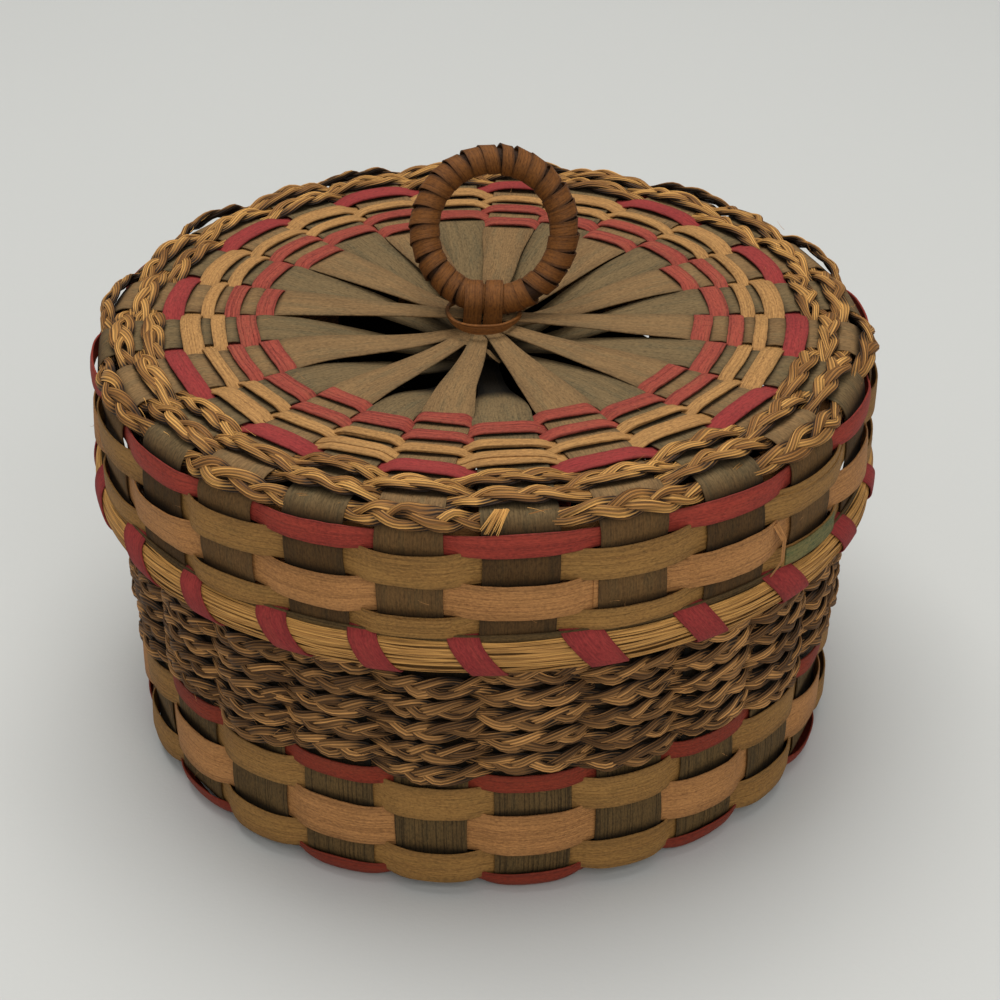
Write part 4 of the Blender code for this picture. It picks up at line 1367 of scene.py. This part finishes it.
def tuft(seed):
    """The cut end of a braid, whose blades spread over the shoulder."""
    rng = np.random.default_rng(seed)
    share = np.linspace(0, 1, THREAD_STEPS)
    start = row_of("lid_braid_4").middle - 1.2 * MM
    sweeps = []
    for blade in range(TUFT_BLADES):
        lean = (blade + 0.5) / TUFT_BLADES
        length = rng.uniform(2.7, 3.7) * MM
        near, far = 2.6 * MM * lean, 3.8 * MM * lean - 3.0 * MM
        theta = TUFT_ANGLE + (near * (1 - share) + far * share) / LID.apothem
        s = start + length * share
        lift = 1.9 * MM - 0.4 * MM * share + rng.uniform(0, 0.5) * MM
        path = LID.point(theta, s, lift)
        outward = unit(LID.point(theta, s, lift + MM) - path)
        path = by_hand(path, LID)
        tone = rng.uniform(0.4, 1)
        sweeps.append(thread(path, outward, 0.21 * MM, 0.13 * MM, seed + blade, tone))
    return sweeps


make_piece("frayed_end", tuft(1700), rim_grass, "lid", [])

# %% Doubled and joined strips
LAP_THICK = 0.3 * MM


def lap(row_name, first, last, seed, lift, half, shift):
    """A strip laid on a row over part of its way round, between two places in standards."""
    row = row_of(row_name)
    wider = half - row.half
    reach = (standard_angle(first), standard_angle(last))
    return splint_row(row, seed, wider=wider, shift=shift, reach=reach, lift=lift, thick=LAP_THICK)


front = STANDARDS / 2
doubled = [
    lap("lid_tan_row_1", front - 5.5, front + 3.5, 800, 0.3 * MM, 0.5 * MM, 0.9 * MM),
    lap("lid_tan_row_3", front - 3.5, front + 0.5, 801, 0.3 * MM, 0.9 * MM, -0.9 * MM),
]
make_piece("lid_laps", doubled, ASH["khaki_ash"], "lid", [])
doubled = [
    lap("skirt_tan_row_1", front + 1.7, front + 4.3, 802, 0.35 * MM, 2.2 * MM, 0.2 * MM),
    lap("skirt_tan_row_3", front - 1.3, front - 0.6, 803, 0.3 * MM, 0.7 * MM, -1.0 * MM),
]
make_piece("side_laps", doubled, ASH["olive_ash"], "lid", [])
stained = [lap("skirt_tan_row_3", front + 2.6, front + 3.4, 804, 0.35 * MM, 1.7 * MM, 0)]
make_piece("stained_lap", stained, ASH["stained_ash"], "lid", [])


def strip_end(places, half_wide, seed):
    """A loose end of splint through places: degrees from the front, length along, distance out."""
    knots = np.array(places, dtype=float)
    share = np.linspace(0, 1, 15)
    turn, s, out = (eased(share, np.linspace(0, 1, len(knots)), knots[:, i]) for i in range(3))
    theta = np.radians(270 + turn)
    path = LID.point(theta, s * MM, out * MM)
    outward = unit(LID.point(theta, s * MM, (out + 1) * MM) - path)
    return thread(by_hand(path, LID), outward, half_wide, 0.16 * MM, seed, 0.6)


wall_top = LID.wall / MM
joined = [
    lap("skirt_tan_row_2", front + 0.6, front + 1.5, 805, 0.33 * MM, 3.0 * MM, 0.1 * MM),
    strip_end([(44.4, wall_top + 9, 0.9), (45.2, wall_top + 12.5, 2.3), (44.8, wall_top + 17, 2.6),
               (43.6, wall_top + 20.5, 1.4)], 0.9 * MM, 806),
]
make_piece("joined_lap", joined, ASH["tan_ash"], "lid", [])
stub = [
    strip_end([(-42, 7.6, -2.4), (-16, 8.8, -2.3), (6, 10.6, -3.0), (16, 13.0, -4.6)], 1.3 * MM, 807),
]
make_piece("torn_strip", stub, ASH["brown_ash"], "lid", [])
rim_strip = hoop(LID, LID_RIM[0] - 1.1 * MM, LID_RIM[0] + 2.2 * MM, 0.55 * MM, THICK, 809)
make_piece("rim_strip", [rim_strip], ASH["wall_ash"], "lid", [])
print("loose ends done")

# %% [markdown]
# ## The studio
# A pale floor that curves up behind, a large soft lamp overhead and a pale world. The colour of
# the background comes from the floor's own material.

# %% Floor and backdrop
FLOOR_HALF = 2.5
SWEEP_START = 1.0
SWEEP_RADIUS = 0.8
PAPER_BUMP = 0.04 * MM


def floor_profile():
    """The floor from in front of the basket to the top of the backdrop."""
    points = [(-FLOOR_HALF, 0.0), (-0.6, 0.0), (SWEEP_START, 0.0)]
    for step in range(1, 13):
        lean = math.pi / 2 * step / 12
        points.append((SWEEP_START + SWEEP_RADIUS * math.sin(lean), SWEEP_RADIUS * (1 - math.cos(lean))))
    points.append((SWEEP_START + SWEEP_RADIUS, FLOOR_HALF))
    return points


def make_stage():
    """The floor as one bent sheet with its paper finish."""
    profile = floor_profile()
    corners = [(side * FLOOR_HALF, y, z) for y, z in profile for side in (-1, 1)]
    faces = [(2 * i, 2 * i + 1, 2 * i + 3, 2 * i + 2) for i in range(len(profile) - 1)]
    mesh = bpy.data.meshes.new("floor")
    mesh.from_pydata(corners, [], faces)
    mesh.shade_smooth()
    make = Finish("floor_paper")
    place = make.node("TexCoord", {}, {}, 3)
    mottle = make.noise(make.stretched(place, (9, 9, 9)), 3, 0.5)
    colour = make.mix(mottle * 0.15, linear(203, 204, 201), linear(194, 195, 192))
    fine = make.noise(make.stretched(place, (900, 900, 900)), 2, 0.5)
    mesh.materials.append(make.finish_with(colour, 0.75 + 0.1 * fine, fine, PAPER_BUMP))
    floor = bpy.data.objects.new("floor", mesh)
    bpy.context.scene.collection.objects.link(floor)
    floor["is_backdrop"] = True


make_stage()

# %% Lamps, world and camera
CAMERA_PLACE = (0.0035, -0.443, 0.3186)
CAMERA_PITCH = math.radians(90 - 31.42)
CAMERA_LENS = 84.0


def area_lamp(name, place, target, size, power, colour):
    """A square soft lamp that faces a point."""
    data = bpy.data.lights.new(name, "AREA")
    data.energy = power
    data.size = size
    data.color = colour
    lamp = bpy.data.objects.new(name, data)
    lamp.location = place
    aim = Vector(target) - Vector(place)
    lamp.rotation_euler = aim.to_track_quat("-Z", "Y").to_euler()
    bpy.context.scene.collection.objects.link(lamp)


area_lamp("top_lamp", (-0.05, 0.18, 1.35), (0, 0, 0.05), 1.0, 14.5, (1.0, 0.985, 0.96))
area_lamp("front_lamp", (0.25, -1.3, 0.95), (0, 0, 0.05), 1.2, 9, (1.0, 0.985, 0.96))
world = bpy.data.worlds.new("pale_room")
world.use_nodes = True
world.node_tree.nodes["Background"].inputs["Color"].default_value = (0.95, 0.97, 1.0, 1)
world.node_tree.nodes["Background"].inputs["Strength"].default_value = 0.32
bpy.context.scene.world = world
camera_data = bpy.data.cameras.new("camera")
camera_data.lens = CAMERA_LENS
camera_data.sensor_width = 36
camera = bpy.data.objects.new("camera", camera_data)
camera.location = CAMERA_PLACE
camera.rotation_euler = (CAMERA_PITCH, 0, 0)
bpy.context.scene.collection.objects.link(camera)
bpy.context.scene.camera = camera
bpy.context.scene.view_settings.view_transform = "Standard"

# %% Print the size of the CAD model and of the dressed one
visual_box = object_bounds()
for place, box in (("CAD", cad_box), ("visual", visual_box)):
    print(place, [[round(x / MM, 1) for x in corner] for corner in box])
